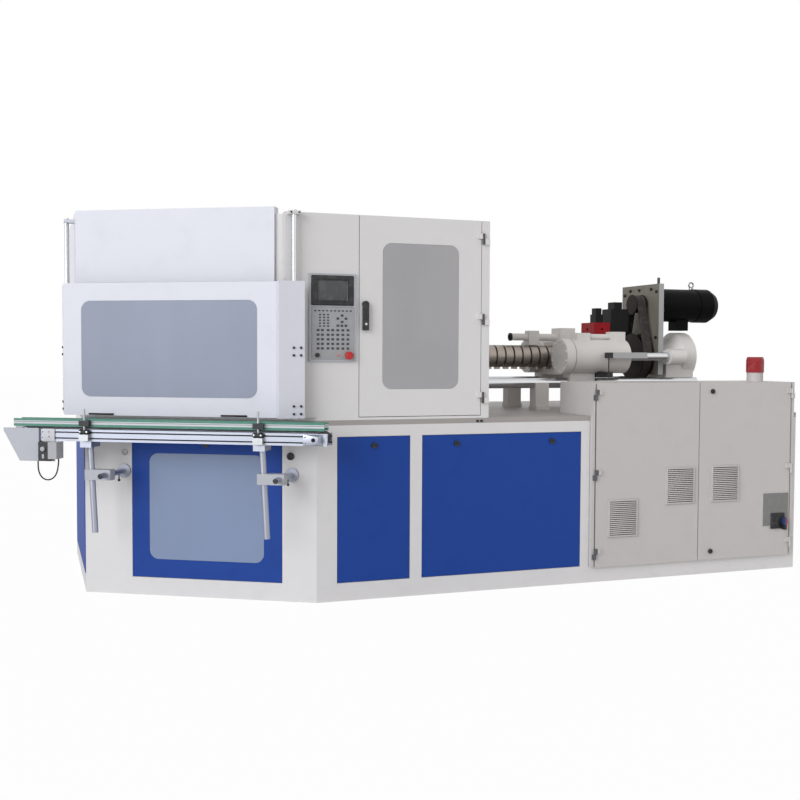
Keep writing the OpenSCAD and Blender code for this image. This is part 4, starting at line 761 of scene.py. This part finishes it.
class MACHINE_OT_injection_fittings(bpy.types.Operator):
    """Makes the screws, eye bolt and tube cap of the injection unit"""

    bl_idname = "machine.injection_fittings"
    bl_label = "Injection fittings"

    def execute(self, context):
        self.cap_screws()
        self.plate_bolts()
        self.eye(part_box("motor")[1].z)
        self.tube_cap()
        self.seams_and_nuts()
        return {"FINISHED"}

    def cap_screws(self):
        """Screws of the cylinder caps."""
        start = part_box("cylinders")[0].x
        screw_count, screw_circle = 10, 0.104
        caps = []
        for middle in CYLINDER_PLACES:
            for turn in range(screw_count):
                angle = math.tau * (turn + 0.5) / screw_count
                across = middle + screw_circle * math.cos(angle)
                up = UNIT_AXIS + screw_circle * math.sin(angle)
                caps.append(facing(Vector((start, across, up)), LEFT))
        fit(socket_screw(0.016, 0.007), "cap_screws", caps, "cast_white", "carriage")

    def plate_bolts(self):
        """Screws and belt-tension stud of the motor plate."""
        low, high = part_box("motor_plate")
        top_row = [(-0.17, 1.88), (0.06, 1.90), (0.18, 1.90), (0.26, 1.87), (-0.10, 1.90)]
        low_row = [(-0.17, 1.55), (0.25, 1.55)]
        bolts = [facing(Vector((low.x, y, z)), LEFT) for y, z in top_row + low_row]
        fit(socket_screw(0.022, 0.012), "plate_screws", bolts, "black_plastic", "crosshead")
        stud_inset, stud_place = 0.02, -0.16
        spot = facing(Vector((low.x + stud_inset, stud_place, high.z)), UP, FRONT)
        stud = sink(disc(0.020, 0.045, 0.002, 12), 0.004, 0.002)
        fit(stud, "plate_stud", [spot], "black_plastic", "crosshead")

    def tube_cap(self):
        """Ring on the open end of the tube above the feed block."""
        tube_height = 1.545
        spot = facing(Vector((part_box("feed_block")[0].x, 0, tube_height)), LEFT)
        ring = sink(disc(0.056, 0.014, 0.003, 32), 0.010, 0.010)
        fit(ring, "tube_cap", [spot], "dark_pulley", "carriage")

    def seams_and_nuts(self):
        """Joints behind the cylinder caps and nuts on the rod ends."""
        seam_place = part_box("cylinders")[0].x + 0.068
        rod_end = 3.32
        joints = [facing(Vector((seam_place, y, UNIT_AXIS)), RIGHT) for y in CYLINDER_PLACES]
        fit(disc(0.2428, 0.003, 0.0006, 64), "cap_seams", joints, "black_plastic", "carriage")
        boss = sink(disc(0.060, 0.010, 0.003, 32), 0.012, 0.004)
        ends = [facing(Vector((rod_end, y, UNIT_AXIS)), RIGHT) for y in CYLINDER_PLACES]
        fit(boss, "rod_nuts", ends, "machined_steel", "crosshead")

    def eye(self, top):
        """Eye bolt on the motor."""
        foot = disc(0.034, 0.012, 0.003)
        fresh()
        bpy.ops.mesh.primitive_torus_add(
            major_segments=24, minor_segments=10, major_radius=0.019, minor_radius=0.006,
            location=(0, 0, 0.032), rotation=(math.pi / 2, 0, 0))
        bpy.ops.object.transform_apply(location=True, rotation=True, scale=True)
        foot.select_set(True)
        bpy.context.view_layer.objects.active = foot
        bpy.ops.object.join()
        eye_place, sunk = 3.555, 0.003
        spot = facing(Vector((eye_place, 0, top - sunk)), UP, FRONT)
        fit(foot, "lifting_eye", [spot], "machined_steel", "crosshead")


class MACHINE_OT_cabinet_fittings(bpy.types.Operator):
    """Makes the louvres, locks and switch plate of the cabinet"""

    bl_idname = "machine.cabinet_fittings"
    bl_label = "Cabinet fittings"

    front: bpy.props.FloatProperty(
        name="Front", description="Face of the doors", unit="LENGTH", default=CABINET_FRONT)

    def execute(self, context):
        lock_face = self.front - 0.005
        plate_face = self.front - 0.004
        self.louvres("left", [(2.368, 0.400), (2.785, 0.589)], "left_door")
        self.louvres("right", [(3.124, 0.591)], "right_door")
        lock = sink(disc(0.032, 0.009, 0.002), 0.009, 0.003)
        locks = front_spots(lock_face, [(3.018, 0.153), (3.018, 1.189)])
        fit(lock, "cabinet_locks", locks, "black_plastic", "right_door")
        back = sink(plate((0.110, 0.105, 0.010), 0.003, 0.006), 0.006, 0.002)
        fit(back, "switch_plate", front_spots(plate_face, [(3.541, 0.327)]), "black_plastic", "right_door")
        cover = sink(plate((0.198, 0.214, 0.0016), 0.0006, 0.002), 0.004, 0.0005)
        spots = front_spots(plate_face, [(3.526, 0.404)])
        fit(cover, "switch_cover", spots, "plate_grey", "right_door")
        rivets = [(3.434, 0.504), (3.618, 0.504), (3.434, 0.304), (3.618, 0.304), (3.526, 0.504)]
        spots = front_spots(lock_face, rivets)
        fit(disc(0.008, 0.003, 0.0012, 12), "switch_rivets", spots, "machined_steel", "right_door")
        return {"FINISHED"}

    def louvres(self, name, places, body):
        """Filter grilles: rim, a dark sheet of painted shade behind the slats, and slanted slats."""
        face = self.front - 0.008
        slat_count, slat_pitch, tilt = 17, 0.0122, 0.0032
        spots = front_spots(face, places)
        rim = sink(plate((0.212, 0.234, 0.004), 0.0015, 0.003), 0.006, 0.0034)
        fit(rim, f"{name}_grille_rims", spots, "cabinet_grey", body)
        # Painted shade: a dark sheet behind the slats, where only shade shows between them.
        ground = sink(plate((0.198, 0.220, 0.0009), 0.0002), 0.004, 0.0003)
        fit(ground, f"{name}_grille_shade_sheets", spots, "grille_painted_shade", body)
        slat = plate((0.199, 0.0072, 0.0048), 0.0006)
        pick(slat, "EDGE", lambda edge, middle: middle.y > 0.002 and middle.z > 0.003)
        bpy.ops.transform.translate(value=(0, 0, -tilt))
        bpy.ops.object.mode_set(mode="OBJECT")
        steps = [slat_pitch * (row - (slat_count - 1) / 2) for row in range(slat_count)]
        rows = [(x, z + step) for x, z in places for step in steps]
        fit(slat, f"{name}_grille_slats", front_spots(face, rows), "cabinet_grey", body)


class MACHINE_OT_conveyor_fittings(bpy.types.Operator):
    """Makes the clamps, screws and end plates of the conveyor"""

    bl_idname = "machine.conveyor_fittings"
    bl_label = "Conveyor fittings"

    def execute(self, context):
        side = CONVEYOR_SIDE
        controller_front, plate_front = 1.003, side + 0.0035
        clamp = plate((0.066, 0.031, 0.024), 0.004, 0.0150)
        rods = [(-0.425, 0.975), (0.595, 0.975)]
        fit(clamp, "rail_clamps", eject_spots(side + 0.002, rods), "black_plastic", "conveyor")
        dots = [(along + shift, z) for along, z in rods for shift in (-0.020, 0.020)]
        heads = eject_spots(side + 0.025, dots)
        fit(socket_screw(0.011, 0.004), "clamp_screws", heads, "chrome_rod", "conveyor")
        end = plate((0.110, 0.062, 0.004), 0.001)
        round_edges(end, lambda edge, middle: upright(edge, middle) and middle.x > 0, 0.029, 7)
        ends = eject_spots(side, [(0.900, 0.953)])
        fit(end, "tail_plate", ends, "profile_aluminium", "conveyor")
        tail = [(0.856, 0.970), (0.856, 0.937)]
        drive = [(-0.646, 0.973), (-0.646, 0.945)]
        screws = eject_spots(plate_front, tail) + eject_spots(side + 0.007, drive)
        fit(socket_screw(0.009, 0.004), "side_screws", screws, "machined_steel", "conveyor")
        bearing = sink(disc(0.022, 0.005, 0.001), 0.005, 0.004)
        fit(bearing, "tail_bearing", eject_spots(plate_front, [(0.902, 0.954)]), "dark_pulley", "conveyor")
        dial = sink(disc(0.026, 0.014, 0.003, 20), 0.006, 0.002)
        dials = eject_spots(controller_front, [(-0.650, 0.880)])
        fit(dial, "speed_dial", dials, "unit_grey", "conveyor")
        rocker = sink(plate((0.014, 0.024, 0.005), 0.0015, 0.002), 0.002, 0.001)
        rockers = eject_spots(controller_front, [(-0.650, 0.838)])
        fit(rocker, "drive_switch", rockers, "unit_grey", "conveyor")
        return {"FINISHED"}


class MACHINE_OT_stage(bpy.types.Operator):
    """Sets the floor, the lights and the camera"""

    bl_idname = "machine.stage"
    bl_label = "Stage"

    def execute(self, context):
        stage = context.scene.machine_stage
        context.scene.view_settings.view_transform = "Standard"
        self.camera(stage)
        key_from, fill_from = (-0.80, -0.50, 0.33), (0.55, -0.80, 0.30)
        cool, warm = (0.93, 0.96, 1.0), (1.0, 0.95, 0.90)
        self.lamp("key_light", key_from, stage.key, cool, softness=40)
        self.lamp("fill_light", fill_from, stage.fill, warm, softness=70)
        self.world(stage.ambient)
        self.floor()
        return {"FINISHED"}

    def camera(self, stage):
        """Camera at the photograph's place."""
        yaw, pitch, roll = stage.camera_yaw, stage.camera_pitch, stage.camera_roll
        level_share = math.cos(pitch)
        forward = Vector((math.cos(yaw) * level_share, math.sin(yaw) * level_share, math.sin(pitch)))
        level = Vector((math.sin(yaw), -math.cos(yaw), 0))
        above = level.cross(forward)
        right = level * math.cos(roll) + above * math.sin(roll)
        up = above * math.cos(roll) - level * math.sin(roll)
        view = bpy.data.objects.new("camera", bpy.data.cameras.new("camera"))
        view.data.sensor_width = 36
        view.data.lens = stage.lens
        view.data.clip_end = 200
        matrix = Matrix((right, up, -forward)).transposed().to_4x4()
        matrix.translation = stage.camera_place
        view.matrix_world = matrix
        bpy.context.scene.collection.objects.link(view)
        bpy.context.scene.camera = view

    def lamp(self, name, towards, strength, colour, softness):
        """Wide soft light from one direction."""
        data = bpy.data.lights.new(name, "SUN")
        data.energy = strength
        data.color = colour
        data.angle = math.radians(softness)
        lamp = bpy.data.objects.new(name, data)
        lamp.rotation_euler = Vector(towards).to_track_quat("Z", "Y").to_euler()
        bpy.context.scene.collection.objects.link(lamp)

    def world(self, ambient):
        """Even light from all round, white where it is seen."""
        world = bpy.data.worlds.new("studio")
        bpy.context.scene.world = world
        world.use_nodes = True
        tree = world.node_tree
        rays = tree.nodes.new("ShaderNodeLightPath").outputs
        seen = Wire(tree, rays["Is Camera Ray"]) + Wire(tree, rays["Is Glossy Ray"])
        seen = seen + Wire(tree, rays["Is Transmission Ray"]) > 0.5
        plug(tree, tree.nodes["Background"].inputs["Color"], (1.0, 1.0, 1.0))
        plug(tree, tree.nodes["Background"].inputs["Strength"], seen * (1 - ambient) + ambient)

    def floor(self):
        """Wide floor that the camera sees nearly white, with a faint soft shadow."""
        reach, whiteness = 60, 0.97
        bpy.ops.object.select_all(action="DESELECT")
        bpy.ops.mesh.primitive_circle_add(vertices=96, radius=reach, fill_type="NGON")
        floor = bpy.context.object
        floor.name = "floor"
        finish = Finish("pale_floor")
        tree = finish.tree
        finish.set(Base_Color=(0.86, 0.86, 0.86), Roughness=0.9, Specular_IOR_Level=0.1)
        glow = tree.nodes.new("ShaderNodeEmission")
        glow.inputs["Strength"].default_value = 1.0
        blend = tree.nodes.new("ShaderNodeMixShader")
        rays = tree.nodes.new("ShaderNodeLightPath").outputs
        plug(tree, blend.inputs[0], Wire(tree, rays["Is Camera Ray"]) * whiteness)
        tree.links.new(finish.shader.outputs[0], blend.inputs[1])
        tree.links.new(glow.outputs[0], blend.inputs[2])
        tree.links.new(blend.outputs[0], tree.nodes["Material Output"].inputs["Surface"])
        wear(floor, "pale_floor")


class MACHINE_PT_panel(bpy.types.Panel):
    """Lists the machine's operators"""

    bl_label = "Machine"
    bl_space_type = "VIEW_3D"
    bl_region_type = "UI"
    bl_category = "Machine"

    def draw(self, context):
        for operator in OPERATORS:
            self.layout.operator(operator.bl_idname)


OPERATORS = (
    MACHINE_OT_finishes,
    MACHINE_OT_drive_cable,
    MACHINE_OT_control_face,
    MACHINE_OT_hood_fittings,
    MACHINE_OT_base_fittings,
    MACHINE_OT_injection_fittings,
    MACHINE_OT_cabinet_fittings,
    MACHINE_OT_conveyor_fittings,
    MACHINE_OT_stage,
)
CLASSES = (MachineColours, MachineStage, *OPERATORS, MACHINE_PT_panel)


def register():
    for item in CLASSES:
        bpy.utils.register_class(item)
    bpy.types.Scene.machine_colours = bpy.props.PointerProperty(type=MachineColours)
    bpy.types.Scene.machine_stage = bpy.props.PointerProperty(type=MachineStage)


def unregister():
    del bpy.types.Scene.machine_stage
    del bpy.types.Scene.machine_colours
    for item in reversed(CLASSES):
        bpy.utils.unregister_class(item)


def main():
    """Builds the looks around the frame."""
    register()
    bpy.ops.machine.finishes()
    bpy.ops.machine.stage()
    bpy.ops.machine.drive_cable()
    bpy.ops.machine.control_face()
    bpy.ops.machine.hood_fittings()
    bpy.ops.machine.base_fittings()
    bpy.ops.machine.injection_fittings()
    bpy.ops.machine.cabinet_fittings()
    bpy.ops.machine.conveyor_fittings()


if __name__ == "__main__":
    main()
